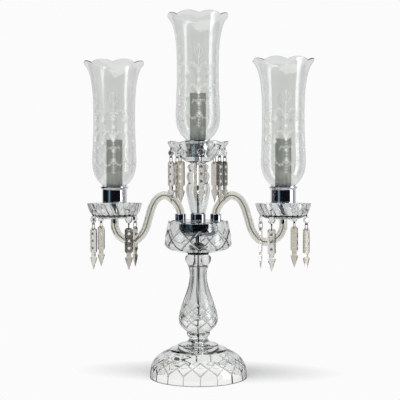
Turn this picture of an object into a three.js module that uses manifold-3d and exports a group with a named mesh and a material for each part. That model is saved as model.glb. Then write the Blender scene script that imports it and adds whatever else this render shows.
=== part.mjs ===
// Crystal candelabra for three electric candles, in millimetres.
// +Z is up, the two arms lie along X, the front is -Y, and the origin is the centre of the foot's underside.
// An azimuth is in degrees from the front towards +X.
import * as THREE from "three";
import { mergeVertices } from "three/addons/utils/BufferGeometryUtils.js";
import Module from "manifold-3d";

const wasm = await Module();
wasm.setup();

// Driving dimensions. Outlines are pairs: percent of the piece's radius, percent of its height.
const fit = 0.3;
const lead = { radius: 1.6, sides: 4, room: 0.8 };
const foot = { radius: 90, height: 71, wall: 8, petals: 18, petalCut: 1.4, groove: 1.2, turn: 9 };
const footOutline = [
  [100, 0], [98.7, 20], [97.2, 28], [92.5, 41], [84.4, 53.5], [69.2, 66], [59.5, 71.5], [41, 83.5], [24, 90.5],
];
const stem = { radius: 36.3, height: 156.7, neck: 16.5, bore: 5.3, cuts: 8, flute: 1.8, groove: 1.1, turn: 9 };
const stemOutline = [
  [56, 3.5], [59, 7.5], [67, 10.5], [91, 17], [100, 24], [96, 31], [86, 39.2],
  [64, 53.3], [46.3, 68.5], [43, 76], [48, 84], [61, 91], [66.7, 95.5], [51, 100],
];
const washer = { radius: 19.5, thickness: 2.4 };
const bowl = { radius: 61.6, height: 59.5, wall: 4, floor: 5, diamonds: 10, groove: 1.3, scallop: 3.4, turn: 9 };
const bowlOutline = [
  [33, 0], [60, 4.5], [79.5, 9], [91, 15.5], [97.3, 21], [100, 27], [99.6, 38], [97, 62], [89.3, 100],
];
const nut = { radius: 17.3, crown: 6.8, height: 12.5 };
const hub = { radius: 36.35, height: 23.5, rise: 13.3, wall: 2, keel: 14 };
const sideCup = { reach: 32.7, radius: 10.5, height: 17.6, floor: 2 };
const centreCup = { radius: 14.4, wall: 1.4, height: 18, floor: 2 };
const spindle = { radius: 5, bore: 3.1, sunk: 22 };
const arm = { radius: 7.5, bore: 5, sides: 8, steps: 21, reach: 157, end: 291.7 };
const post = { radius: 22.4, foot: 12.6, bore: 5.4, height: 108.4 };
const postOutline = [
  [68, 18], [81, 37], [93, 46.5], [100, 56.5], [81, 66.5], [95, 79.5], [75, 88], [88, 92.5], [60, 100],
];
const pan = { radius: 51, height: 30.3, wall: 3.2, floor: 4.4, flat: 24, cuts: 10, cut: 0.9 };
const panOutline = [[22, 0], [52, 4], [77, 20], [93, 52], [100, 100]];
const topPan = { radius: 57, height: 40.6, wall: 3, floor: 4.4, flat: 20, lobes: 8, lobe: 4, pinch: 2.4 };
const topPanOutline = [[20, 0], [40, 9], [58, 28], [84, 64], [97, 86], [100, 100]];
const shadeCup = { radius: 23, wall: 1.7, height: 24, lip: 26, lipHeight: 6.4, floor: 2 };
const spigot = { collar: 6.4, radius: 3.8, length: 8, bore: 2.2 };
const shade = { radius: 41, height: 260, wall: 1.9, fitter: 20.8, lobes: 8, lobe: 5.5, flare: 57, turn: 9 };
const shadeOutline = [
  [72, 14.3], [91, 19.3], [100, 28], [95, 48], [94, 66], [102, 81], [121, 94],
];
const candle = { radius: 15, wall: 1.4, height: 115.4 };
const holder = { radius: 13.1, height: 42, drop: 6, socket: 8.6, depth: 30, rod: 5, rodBore: 2.4 };
const button = { width: 15, table: 8.4, thickness: 6.4 };
const hook = { wire: 0.5, bend: 4, stand: 2.8, hole: 2, sideHang: 18.2, topHang: 13.4 };
const link = { wire: 0.5, length: 13.6, width: 6.6, hole: 1.6 };
const prism = {
  width: 14.8, thickness: 6, body: 47, neck: 8.6, neckEnd: 52.5, shoulder: 54.5, length: 77, hole: 4.2,
};
const lights = { side: { rise: 30.6, hole: 61 }, top: { rise: 11.6, hole: 78 } };
const inlet = { azimuth: -141, height: 14, radius: 4, flange: 5.6, flangeThickness: 1.2 };

// Where the drops hang round each light, and the way each one's face looks.
const leftDrops = [[-45, -25], [45, 20], [135, 135], [-135, -135]];
const rightDrops = [[-25, -10], [65, 40], [155, 155], [-115, -100]];
const topDrops = [
  [13, 10], [58, 50], [103, 55], [148, 148], [-167, -167], [-122, -122], [-77, -35], [-32, -15],
];

// Finishes.
const crystal = new THREE.MeshStandardMaterial({ color: 0xe4e8e4, roughness: 0.05, metalness: 0 });
const chrome = new THREE.MeshStandardMaterial({ color: 0xc9ccd2, roughness: 0.08, metalness: 1 });
const sleeve = new THREE.MeshStandardMaterial({ color: 0xa9aba3, roughness: 0.5, metalness: 0 });
const bakelite = new THREE.MeshStandardMaterial({ color: 0x1b1a19, roughness: 0.45, metalness: 0 });
const rubber = new THREE.MeshStandardMaterial({ color: 0x24231f, roughness: 0.7, metalness: 0 });

const radians = THREE.MathUtils.degToRad;
const point = (r, z) => new THREE.Vector2(r, z);

// The direction of an azimuth, level with the table.
const outward = (azimuth) => new THREE.Vector3(Math.sin(radians(azimuth)), -Math.cos(radians(azimuth)), 0);

// An outline of percentages as points of radius and height.
function outlineOf(pairs, radius, base, height) {
  return pairs.map(([out, up]) => point((radius * out) / 100, base + (height * up) / 100));
}

// The radius of an outline at a height.
function radiusAt(outline, z) {
  const above = Math.max(1, outline.findIndex((p) => p.y >= z));
  const [low, high] = [outline[above - 1], outline[above]];
  return THREE.MathUtils.mapLinear(z, low.y, high.y, low.x, high.x);
}

// A line of points moved to its left by a wall's thickness.
function inset(points, wall) {
  return points.map((p, i) => {
    const before = points[Math.max(0, i - 1)];
    const after = points[Math.min(points.length - 1, i + 1)];
    const along = after.clone().sub(before).normalize();
    return point(p.x - along.y * wall, p.y + along.x * wall);
  });
}

// A solid of revolution from a closed outline, whose shape may bend each ring and cut grooves between columns.
function spin(outline, columns, turn = 0, shape = (r, z) => [r, z]) {
  const positions = [];
  const index = [];
  const rings = outline.length;
  outline.forEach((p, ring) => {
    for (let column = 0; column < columns; column++) {
      const azimuth = turn + (360 * column) / columns;
      const [r, z] = shape(p.x, p.y, column, ring);
      const at = outward(azimuth).multiplyScalar(r);
      positions.push(at.x, at.y, z);
    }
  });
  const outwards = THREE.ShapeUtils.area(outline) > 0;
  for (let ring = 0; ring < rings; ring++)
    for (let column = 0; column < columns; column++) {
      const next = (column + 1) % columns;
      const up = (ring + 1) % rings;
      const [a, b] = [ring * columns + column, ring * columns + next];
      const [c, d] = [up * columns + next, up * columns + column];
      const faces = (ring + column) % 2 ? [a, b, d, b, c, d] : [a, b, c, a, c, d];
      index.push(...(outwards ? faces : faces.reverse()));
    }
  const geometry = new THREE.BufferGeometry();
  geometry.setAttribute("position", new THREE.Float32BufferAttribute(positions, 3));
  return geometry.setIndex(index);
}

// A round tube with a bore, from a low to a high end.
function pipe(radius, bore, low, high, columns = 16) {
  return spin([point(bore, low), point(radius, low), point(radius, high), point(bore, high)], columns);
}

// A geometry as a solid that can be cut and joined.
function solid(geometry) {
  const bare = geometry.clone();
  bare.deleteAttribute("normal");
  bare.deleteAttribute("uv");
  const merged = mergeVertices(bare, 1e-4);
  return new wasm.Manifold(
    new wasm.Mesh({
      numProp: 3,
      vertProperties: merged.attributes.position.array,
      triVerts: new Uint32Array(merged.index.array),
    }),
  );
}

// A solid as a geometry again.
function geometryOf(made) {
  const mesh = made.getMesh();
  const geometry = new THREE.BufferGeometry();
  geometry.setAttribute("position", new THREE.BufferAttribute(mesh.vertProperties, 3));
  return geometry.setIndex(new THREE.BufferAttribute(mesh.triVerts, 1));
}

const joined = (first, ...rest) => geometryOf(rest.reduce((sum, g) => sum.add(solid(g)), solid(first)));
const drilled = (body, ...holes) => geometryOf(holes.reduce((left, g) => left.subtract(solid(g)), solid(body)));

// A tube of a few flat sides along a curve, with a bore where one is given.
function tube(curve, radius, sides, steps, bore = 0) {
  const ring = (r) =>
    Array.from({ length: sides }, (_, i) => {
      const angle = (2 * Math.PI * (i + 0.5)) / sides;
      return point(r * Math.cos(angle), r * Math.sin(angle));
    });
  const section = new THREE.Shape(ring(radius));
  if (bore) section.holes.push(new THREE.Path(ring(bore)));
  return new THREE.ExtrudeGeometry(section, { extrudePath: curve, steps });
}

// A round bar between two points.
function bar(from, to, radius, sides) {
  const along = to.clone().sub(from);
  const geometry = new THREE.CylinderGeometry(radius, radius, along.length(), sides);
  const turn = new THREE.Quaternion().setFromUnitVectors(new THREE.Vector3(0, 1, 0), along.clone().normalize());
  return geometry.applyQuaternion(turn).translate(...from.clone().add(to).divideScalar(2).toArray());
}

const candelabra = new THREE.Group();

function add(name, geometry, material, x = 0, z = 0) {
  const mesh = new THREE.Mesh(geometry, material);
  mesh.name = name;
  mesh.position.set(x, 0, z);
  candelabra.add(mesh);
  return mesh;
}

// Heights at which the pieces stand on each other.
const stemBase = foot.height - 0.5;
const stemTop = stemBase + stem.height;
const washerBase = stemTop + fit;
const bowlBase = washerBase + washer.thickness + fit;
const bowlFloor = bowlBase + bowl.floor;
const nutBase = bowlFloor + fit;
const hubBase = nutBase + nut.height + hub.rise;
const hubTop = hubBase + hub.height;
const postBase = hubTop + centreCup.floor + fit;
const topPanBase = postBase + post.height + fit;
const sidePanBase = arm.end + fit;

// The foot: a hollow dome whose rim is cut in tall petals under a band of diamonds.
function footGeometry() {
  const outer = outlineOf(footOutline, foot.radius, 0, foot.height);
  outer.push(point(stem.neck, foot.height));
  const ceiling = [0, 2, 4, 7].map((i) => outer[i]);
  const inner = inset(ceiling, foot.wall).map((p, i) => (i ? p : point(p.x, 0)));
  const crown = point(stem.bore + 2 * fit, inner.at(-1).y);
  const outline = [...outer, point(crown.x, foot.height), crown, ...inner.reverse()];
  const petalRings = 2;
  const latticeRings = [2, 3, 4];
  return spin(outline, 2 * foot.petals, foot.turn, (r, z, column, ring) => {
    const petal = column % 2;
    if (ring < petalRings) return [r - petal * foot.petalCut, z];
    if (latticeRings.includes(ring) && (ring + column) % 2 === 0) return [r - foot.groove, z];
    return [r, z];
  });
}

// The stem: a glass baluster with a cut collar, a belly of diamonds and a fluted neck.
function stemGeometry() {
  const plug = stem.neck * 0.7;
  const outer = outlineOf(stemOutline, stem.radius, stemBase, stem.height);
  const outline = [
    point(stem.bore, stemBase - 4),
    point(plug, stemBase - 4),
    point(plug, stemBase),
    point(stem.neck + 1, stemBase),
    ...outer,
    point(stem.bore, stemTop),
  ];
  const lattice = { first: 7, last: 10 };
  const flutes = { first: 11, last: 14 };
  return spin(outline, 2 * stem.cuts, stem.turn, (r, z, column, ring) => {
    if (ring >= lattice.first && ring <= lattice.last && (ring + column) % 2 === 0) return [r - stem.groove, z];
    if (ring >= flutes.first && ring <= flutes.last && column % 2) return [r - stem.flute, z];
    return [r, z];
  });
}

// The inlet: a rubber bush in the back of the foot's rim, and the hole that it sits in.
const inletRim = radiusAt(outlineOf(footOutline, foot.radius, 0, foot.height), inlet.height) - foot.petalCut;
const inletAt = (r) => outward(inlet.azimuth).multiplyScalar(r).setZ(inlet.height);
const inletHole = bar(inletAt(inletRim - 3 * foot.wall), inletAt(inletRim + foot.wall), inlet.radius, 10);

function bushGeometry() {
  const depth = foot.wall + 3;
  const outline = [
    point(lead.radius + fit, -depth),
    point(inlet.radius - fit, -depth),
    point(inlet.radius - fit, fit + 0.9),
    point(inlet.flange, fit + 0.9),
    point(inlet.flange, fit + 0.9 + inlet.flangeThickness),
    point(lead.radius + fit, fit + 0.9 + inlet.flangeThickness),
  ];
  const turn = new THREE.Quaternion().setFromUnitVectors(new THREE.Vector3(0, 0, 1), outward(inlet.azimuth));
  return spin(outline, 10).applyQuaternion(turn).translate(...inletAt(inletRim).toArray());
}

add("base", drilled(joined(footGeometry(), stemGeometry()), inletHole), crystal);
add("inlet_bush", bushGeometry(), rubber);
add("bowl_washer", pipe(washer.radius, stem.bore + fit, washerBase, washerBase + washer.thickness, 16), rubber);

// The bowl: ten large diamonds round its belly and a plain scalloped rim.
function bowlGeometry() {
  const outer = outlineOf(bowlOutline, bowl.radius, bowlBase, bowl.height);
  const inner = inset([2, 3, 5, 7, 8].map((i) => outer[i]), bowl.wall);
  inner[0].y = Math.max(inner[0].y, bowlFloor);
  inner.at(-1).y = outer.at(-1).y;
  const hole = spindle.radius + fit;
  const outline = [
    point(hole, bowlBase), ...outer, ...inner.reverse(), point(nut.radius + 2, bowlFloor), point(hole, bowlFloor),
  ];
  const rim = [outer.length, outer.length + 1];
  const lattice = [3, 5, 7];
  return spin(outline, 2 * bowl.diamonds, bowl.turn, (r, z, column, ring) => {
    if (rim.includes(ring)) return [r, z - (column % 2 ? 0 : bowl.scallop)];
    const node = (lattice.indexOf(ring) + column) % 2 === 0;
    return [lattice.includes(ring) && node ? r - bowl.groove : r, z];
  });
}

add("bowl", bowlGeometry(), crystal);

// The clamping nut on the spindle, shaped like a bell.
function nutGeometry() {
  const hole = spindle.radius + fit;
  const shoulder = (nut.radius + nut.crown) / 2;
  const outline = [
    point(hole, 0), point(nut.radius, 0), point(nut.radius, nut.height * 0.16), point(shoulder, nut.height * 0.5),
    point(nut.crown + 0.8, nut.height * 0.72), point(nut.crown, nut.height), point(hole, nut.height),
  ];
  return spin(outline, 12);
}

add("bowl_nut", nutGeometry(), chrome, 0, nutBase);

// The hub: a hollow chrome drum with a rounded keel, and three cups brazed on it.
function hubGeometry() {
  const hole = spindle.radius + fit;
  const shell = [
    point(hub.keel, hubBase), point(hub.radius * 0.74, hubBase + 1.8), point(hub.radius, hubBase + 9),
    point(hub.radius, hubTop),
  ];
  const inside = inset(shell, hub.wall);
  inside[0] = point(hub.keel, hubBase + hub.wall);
  inside[3] = point(hub.radius - hub.wall, hubTop - hub.wall);
  const drum = spin(
    [
      point(hole, hubBase), ...shell, point(hole, hubTop), point(hole, hubTop - hub.wall),
      ...inside.reverse(), point(hole, hubBase + hub.wall),
    ],
    20,
  );
  const armCup = (x) => {
    const inner = arm.radius + 2 * fit;
    const low = hubTop - 1;
    const floor = hubTop + sideCup.floor;
    const high = hubTop + sideCup.height;
    const outline = [
      point(lead.radius + lead.room, low), point(sideCup.radius, low), point(sideCup.radius, high),
      point(inner, high), point(inner, floor), point(lead.radius + lead.room, floor),
    ];
    return spin(outline, 12).translate(x, 0, 0);
  };
  const postCup = () => {
    const inner = centreCup.radius - centreCup.wall;
    const low = hubTop - 1;
    const floor = hubTop + centreCup.floor;
    const high = hubTop + centreCup.height;
    const outline = [
      point(hole + 0.4, low), point(centreCup.radius, low), point(centreCup.radius, high),
      point(inner, high), point(inner, floor), point(hole + 0.4, floor),
    ];
    return spin(outline, 16);
  };
  const body = joined(drum, postCup(), armCup(-sideCup.reach), armCup(sideCup.reach));
  const leadHole = (x) => {
    const [low, high] = [new THREE.Vector3(x, 0, hubTop - 2 * hub.wall), new THREE.Vector3(x, 0, hubTop + 1)];
    return bar(low, high, lead.radius + lead.room, 8);
  };
  return drilled(body, leadHole(-sideCup.reach), leadHole(sideCup.reach));
}

add("hub", hubGeometry(), chrome);

// The spindle: a threaded tube from the stem through bowl and hub into the post, with a window for the leads.
const spindleLow = stemTop - spindle.sunk;
const spindleHigh = postBase + post.height - spigot.length - 4;
const windowAt = (hubBase + hubTop) / 2;
const windowSize = 2 * (lead.radius + lead.room);
const leadWindow = new THREE.BoxGeometry(4 * spindle.radius, windowSize, windowSize + 2).translate(0, 0, windowAt);
add("spindle", drilled(pipe(spindle.radius, spindle.bore, spindleLow, spindleHigh, 12), leadWindow), chrome);

// The post: the turned glass column in the middle, with its foot in the centre cup.
function postGeometry() {
  const high = postBase + post.height;
  const outline = [
    point(post.bore, postBase), point(post.foot, postBase), point(post.foot, hubTop + centreCup.height),
    ...outlineOf(postOutline, post.radius, postBase, post.height), point(post.bore, high),
  ];
  return spin(outline, 16);
}

add("post", postGeometry(), crystal);

// The route of an arm, from its cup up over the arch, down to its bend and up to the pan, for the arm at +X.
const armBase = hubTop + sideCup.floor + fit;
const armPoints = [
  [sideCup.reach, armBase],
  [sideCup.reach, armBase + sideCup.height - 1],
  [sideCup.reach + 4, armBase + 28.5],
  [sideCup.reach + 14, armBase + 41],
  [sideCup.reach + 28.5, armBase + 49.6],
  [sideCup.reach + 43, armBase + 44],
  [sideCup.reach + 53, armBase + 29],
  [sideCup.reach + 59.5, armBase + 8],
  [sideCup.reach + 67, armBase - 15],
  [sideCup.reach + 79, armBase - 30.5],
  [sideCup.reach + 92, armBase - 36],
  [arm.reach - 19, armBase - 33],
  [arm.reach - 7, armBase - 24],
  [arm.reach - 0.8, arm.end - 16],
  [arm.reach, arm.end - 12],
  [arm.reach, arm.end],
];

function armCurve(side) {
  return new THREE.CatmullRomCurve3(armPoints.map(([x, z]) => new THREE.Vector3(side * x, 0, z)));
}

for (const [name, side] of [["arm_left", -1], ["arm_right", 1]])
  add(name, tube(armCurve(side), arm.radius, arm.sides, arm.steps, arm.bore), crystal);

// The pans: glass dishes under the lights, drilled for the drops.
function panGeometry(base, size, outline, columns, turn, shape, holes) {
  const outer = outlineOf(outline, size.radius, base, size.height);
  const inner = inset(outer, size.wall).filter((p) => p.y > base + size.floor);
  inner.at(-1).y = outer.at(-1).y;
  const hole = spigot.radius + fit;
  const floor = base + size.floor;
  const seat = Math.min(inner[0].x - 1, size.flat);
  const rings = [point(hole, base), ...outer, ...inner.reverse(), point(seat, floor), point(hole, floor)];
  const rim = [outer.length, outer.length + 1];
  const dish = spin(rings, columns, turn, (r, z, column, ring) =>
    shape(r, z, column, ring > 0 && ring <= outer.length, rim.includes(ring)),
  );
  return drilled(dish, ...holes);
}

// The middle of a hole in a pan's wall, and the way that its wall faces.
function holeIn(base, size, outline, percent) {
  const outer = outlineOf(outline, size.radius, base, size.height);
  const z = base + (size.height * percent) / 100;
  const above = outer.findIndex((p) => p.y >= z);
  const slope = outer[above].clone().sub(outer[above - 1]).normalize();
  const normal = point(slope.y, -slope.x);
  const middle = point(radiusAt(outer, z), z).addScaledVector(normal, -size.wall / 2);
  return { middle, normal };
}

function holeCutter(where, azimuth, wall, inwards) {
  const out = outward(azimuth);
  const middle = out.clone().multiplyScalar(where.middle.x - inwards).setZ(where.middle.y);
  const normal = out.clone().multiplyScalar(where.normal.x).setZ(where.normal.y);
  const reach = normal.multiplyScalar(2 * wall);
  return bar(middle.clone().sub(reach), middle.clone().add(reach), hook.hole, 5);
}

const sideHole = holeIn(sidePanBase, pan, panOutline, lights.side.hole);
const topHole = holeIn(topPanBase, topPan, topPanOutline, lights.top.hole);

function mitred(r, z, column, outside, rim) {
  return [outside && !rim && column % 2 ? r - pan.cut : r, z];
}

function lobed(r, z, column, outside, rim) {
  const cusp = column % 3 === 0;
  const share = (z - topPanBase) / topPan.height;
  const pinched = cusp ? topPan.pinch * share * share : 0;
  return [r - pinched, z + (rim ? (cusp ? -topPan.lobe : 0) : 0)];
}

for (const [name, x, drops] of [
  ["pan_left", -arm.reach, leftDrops],
  ["pan_right", arm.reach, rightDrops],
]) {
  const holes = drops.map(([azimuth]) => holeCutter(sideHole, azimuth, pan.wall, 0));
  add(name, panGeometry(sidePanBase, pan, panOutline, 2 * pan.cuts, 0, mitred, holes), crystal, x);
}
const topCusp = topDrops[0][0];
const topHoles = topDrops.map(([azimuth]) => holeCutter(topHole, azimuth, topPan.wall, topPinch()));
add(
  "pan_centre",
  panGeometry(topPanBase, topPan, topPanOutline, 3 * topPan.lobes, topCusp, lobed, topHoles),
  crystal,
);

// How far a hole of the centre pan stands in, because its wall is pinched at a cusp.
function topPinch() {
  const share = lights.top.hole / 100;
  return topPan.pinch * share * share;
}

// A shade cup: a chrome cup with a rolled lip, on a collar and spigot that go through the pan.
function shadeCupGeometry(base, rise) {
  const floor = base + rise;
  const panFloor = base + pan.floor + fit;
  const inner = shadeCup.radius - shadeCup.wall;
  const top = floor + shadeCup.height;
  const outline = [
    point(spigot.bore, base - spigot.length), point(spigot.radius, base - spigot.length),
    point(spigot.radius, panFloor), point(spigot.collar, panFloor), point(spigot.collar, floor),
    point(shadeCup.radius, floor), point(shadeCup.radius, top), point(shadeCup.lip, top + shadeCup.lipHeight * 0.7),
    point(shadeCup.lip, top + shadeCup.lipHeight), point(shadeCup.lip - 1.6, top + shadeCup.lipHeight),
    point(inner, top + 1), point(inner, floor + shadeCup.floor), point(spigot.bore, floor + shadeCup.floor),
  ];
  return spin(outline, 16);
}

// A shade: a thin flared chimney with a lobed rim, whose neck stands in the cup.
const shadeOuter = [
  point(shade.fitter, 0),
  point(shade.fitter, shade.height * 0.105),
  ...outlineOf(shadeOutline, shade.radius, 0, shade.height),
  point(shade.flare, shade.height),
];
const shadeColumns = 3 * shade.lobes;
const shadeTurn = shade.turn + 180 / shade.lobes;

// The inner wall of a shade, under the picked points of its outer one.
function shadeInner(picks) {
  const inner = inset(picks.map((i) => shadeOuter[i]), shade.wall);
  inner[0].y = 0;
  inner.at(-1).y = shade.height;
  return inner;
}

const wholeInner = shadeInner([0, 1, 3, 4, 6, 8, 9]);
const splitInner = shadeInner([0, 1, 2, 3, 4, 6, 8, 9]);

// The side shades have their neck as a ring of its own, under the chimney.
function shadeNeckGeometry() {
  return spin([...shadeOuter.slice(0, 3), ...splitInner.slice(0, 3).reverse()], shadeColumns, shadeTurn);
}

function shadeGeometry(outer, inner) {
  const rim = [outer.length - 1, outer.length];
  return spin([...outer, ...inner.toReversed()], shadeColumns, shadeTurn, (r, z, column, ring) => [
    r,
    rim.includes(ring) && column % 3 === 0 ? z - shade.lobe : z,
  ]);
}

// A lampholder on its rod, under the top of the candle sleeve.
function holderGeometry() {
  const top = candle.height - holder.drop;
  const low = top - holder.height;
  const outline = [
    point(holder.rodBore, 0), point(holder.rod, 0), point(holder.rod, low), point(holder.radius, low + 2),
    point(holder.radius, top), point(holder.socket, top), point(holder.socket, top - holder.depth),
    point(holder.rodBore, top - holder.depth),
  ];
  return spin(outline, 10);
}

const cupFloor = {
  side: sidePanBase + lights.side.rise + shadeCup.floor,
  top: topPanBase + lights.top.rise + shadeCup.floor,
};
for (const [place, x, base, light, floor] of [
  ["left", -arm.reach, sidePanBase, lights.side, cupFloor.side],
  ["right", arm.reach, sidePanBase, lights.side, cupFloor.side],
  ["centre", 0, topPanBase, lights.top, cupFloor.top],
]) {
  add("shade_cup_" + place, shadeCupGeometry(base, light.rise), chrome, x);
  add("lampholder_" + place, holderGeometry(), bakelite, x, floor + fit);
  const sleeveWall = pipe(candle.radius, candle.radius - candle.wall, 0, candle.height, 16);
  add("candle_sleeve_" + place, sleeveWall, sleeve, x, floor + fit);
  if (place === "centre") {
    add("shade_centre", shadeGeometry(shadeOuter, wholeInner), crystal, x, floor + fit);
    continue;
  }
  add("shade_neck_" + place, shadeNeckGeometry(), crystal, x, floor + fit);
  add("shade_" + place, shadeGeometry(shadeOuter.slice(2), splitInner.slice(2)), crystal, x, floor + fit);
}

// The wiring: one lead from the inlet up the stem, with a branch through each arm, ending in the lampholders.
function wiringGeometry() {
  const socketFloor = (floor) => floor + fit + candle.height - holder.drop - holder.depth;
  const path = (points) => new THREE.CatmullRomCurve3(points.map((p) => new THREE.Vector3(...p)));
  const back = outward(inlet.azimuth);
  const end = inletRim + fit + 0.9 + inlet.flangeThickness;
  const inFoot = (r, z) => [back.x * r, back.y * r, z];
  const route = [
    inFoot(end, inlet.height), inFoot(end - 8, inlet.height), inFoot(end - 20, inlet.height + 0.5),
    inFoot(46, inlet.height + 6), inFoot(22, inlet.height + 16), inFoot(6, foot.height - 36),
    inFoot(0, foot.height - 20), inFoot(0, foot.height), inFoot(0, stemTop), inFoot(0, windowAt),
  ];
  const main = tube(path(route), lead.radius, lead.sides, 20);
  const [top, bottom] = [socketFloor(cupFloor.top), windowAt - 1].map((z) => new THREE.Vector3(0, 0, z));
  const upper = tube(new THREE.LineCurve3(bottom, top), lead.radius, lead.sides, 1);
  const branch = (side) => {
    const turnIn = path([
      [0, 0, windowAt], [side * 10, 0, windowAt], [side * (sideCup.reach - 7), 0, windowAt + 0.5],
      [side * (sideCup.reach - 1), 0, windowAt + 5], [side * sideCup.reach, 0, hubTop - hub.wall],
      [side * sideCup.reach, 0, armBase + 1],
    ]);
    const ends = [arm.end - 1, socketFloor(cupFloor.side)];
    const [low, high] = ends.map((z) => new THREE.Vector3(side * arm.reach, 0, z));
    return [
      tube(turnIn, lead.radius, lead.sides, 10),
      tube(armCurve(side), lead.radius, lead.sides, arm.steps),
      tube(new THREE.LineCurve3(low, high), lead.radius, lead.sides, 1),
    ];
  };
  return joined(main, upper, ...branch(-1), ...branch(1));
}

add("wiring", wiringGeometry(), rubber);

// The octagonal button of a drop, with its wire hook above and its link below, hung below a hole at the origin.
function buttonGeometry(hang, wall, normal, azimuth, face) {
  const facing = new THREE.Quaternion().setFromUnitVectors(new THREE.Vector3(0, 1, 0), outward(face));
  const half = button.thickness / 2;
  const cut = new THREE.LatheGeometry(
    [
      point(0, -half), point(button.table / 2, -half), point(button.width / 2, 0),
      point(button.table / 2, half), point(0, half),
    ],
    8,
  );
  const octagon = cut.applyQuaternion(facing).translate(0, 0, -hang);
  const out = outward(azimuth);
  const inPlane = (across, down) => out.clone().multiplyScalar(across).setZ(down);
  const top = -hang + button.width / 2;
  const head = inPlane(-normal.x * hook.stand, -normal.y * hook.stand);
  const bent = head.clone().addScaledVector(out.clone().cross(new THREE.Vector3(0, 0, 1)), hook.bend);
  const clear = inPlane(normal.x * (wall / 2 + 0.9), normal.y * (wall / 2 + 0.9));
  const route = new THREE.CurvePath();
  [bent, head, clear, inPlane(0.6, top + 2.6), inPlane(0, top - 1.6)].forEach((p, i, all) => {
    if (i) route.add(new THREE.LineCurve3(all[i - 1], p));
  });
  const wire = tube(route, hook.wire, 3, 7);
  const linkTop = -hang - button.width / 2 + 1.8;
  const loop = (grow) => {
    const [low, high, wide] = [linkTop - link.length - grow, linkTop + grow, link.width / 2 + grow];
    return [point(-wide, low), point(wide, low), point(wide, high), point(-wide, high)];
  };
  const shape = new THREE.Shape(loop(link.wire));
  shape.holes.push(new THREE.Path(loop(-link.wire)));
  const flat = new THREE.ExtrudeGeometry(shape, { depth: 2 * link.wire, bevelEnabled: false });
  flat.translate(0, 0, -link.wire).rotateX(Math.PI / 2).rotateZ(radians(face - 90));
  return joined(octagon, wire, flat);
}

// The spear prism of a drop, hung below its hole at the origin.
function prismGeometry(face) {
  const [wide, neck] = [prism.width / 2, prism.neck / 2];
  const stations = [
    [0, wide * 0.8, 0.45], [10, wide, 1], [prism.body - 3.5, wide, 1], [prism.body, neck, 0.8],
    [prism.neckEnd, neck, 0.8], [prism.shoulder, wide * 1.04, 1], [prism.length, 0.4, 0.12],
  ];
  const positions = [];
  const index = [];
  const sides = 6;
  for (const [down, half, thick] of stations) {
    const flat = half * 0.5;
    const depth = (prism.thickness / 2) * thick;
    const section = [[half, 0], [flat, depth], [-flat, depth], [-half, 0], [-flat, -depth], [flat, -depth]];
    for (const [x, y] of section) positions.push(x, y, prism.hole - down);
  }
  for (let station = 0; station < stations.length - 1; station++)
    for (let side = 0; side < sides; side++) {
      const next = (side + 1) % sides;
      const [a, b] = [station * sides + side, station * sides + next];
      index.push(b, a, a + sides, b, a + sides, b + sides);
    }
  const last = (stations.length - 1) * sides;
  for (let side = 1; side < sides - 1; side++)
    index.push(0, side, side + 1, last, last + side + 1, last + side);
  const geometry = new THREE.BufferGeometry();
  geometry.setAttribute("position", new THREE.Float32BufferAttribute(positions, 3));
  const body = geometry.setIndex(index);
  const through = new THREE.Vector3(0, prism.thickness, 0);
  const eye = bar(through.clone().negate(), through, link.hole, 6);
  return drilled(body, eye).rotateZ(radians(face));
}

// The drops: a button on its hook, and a spear prism on the button's link.
const linkDrop = button.width / 2 - 1.8 + link.length;
for (const [place, x, drops, where, hang, wall, pinch] of [
  ["left", -arm.reach, leftDrops, sideHole, hook.sideHang, pan.wall, 0],
  ["right", arm.reach, rightDrops, sideHole, hook.sideHang, pan.wall, 0],
  ["centre", 0, topDrops, topHole, hook.topHang, topPan.wall, topPinch()],
])
  drops.forEach(([azimuth, face], i) => {
    const at = outward(azimuth).multiplyScalar(where.middle.x - pinch).setZ(where.middle.y);
    const cut = buttonGeometry(hang, wall, where.normal, azimuth, face);
    const buttonMesh = add(`drop_button_${place}_${i + 1}`, cut, crystal);
    buttonMesh.position.set(x + at.x, at.y, at.z);
    const prismMesh = add(`drop_prism_${place}_${i + 1}`, prismGeometry(face), crystal);
    prismMesh.position.set(x + at.x, at.y, at.z - hang - linkDrop);
  });

export default candelabra;
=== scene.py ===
# Crystal candelabra lamp: cut glass, chrome, etched shades and hanging spear drops.
# Lengths in the dictionaries are millimetres; an azimuth is in degrees from the front (-Y) towards +X.
import functools
import math

import bpy
import numpy as np
from mathutils import Matrix, Vector


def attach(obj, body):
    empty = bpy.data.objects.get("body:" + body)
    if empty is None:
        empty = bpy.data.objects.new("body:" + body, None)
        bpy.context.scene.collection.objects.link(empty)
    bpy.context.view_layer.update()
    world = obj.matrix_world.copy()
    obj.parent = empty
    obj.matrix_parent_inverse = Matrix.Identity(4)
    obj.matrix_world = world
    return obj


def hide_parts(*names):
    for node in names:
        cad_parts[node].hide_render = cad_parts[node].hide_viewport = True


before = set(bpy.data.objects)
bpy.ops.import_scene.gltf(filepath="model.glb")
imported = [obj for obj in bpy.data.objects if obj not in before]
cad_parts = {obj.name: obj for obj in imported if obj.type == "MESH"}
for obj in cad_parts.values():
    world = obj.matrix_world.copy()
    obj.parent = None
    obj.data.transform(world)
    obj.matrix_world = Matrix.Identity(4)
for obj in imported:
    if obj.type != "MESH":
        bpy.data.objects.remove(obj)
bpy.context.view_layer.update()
mm = 0.001


def outward(azimuth):
    angle = math.radians(azimuth)
    return np.array([math.sin(angle), -math.cos(angle), 0.0])


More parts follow.
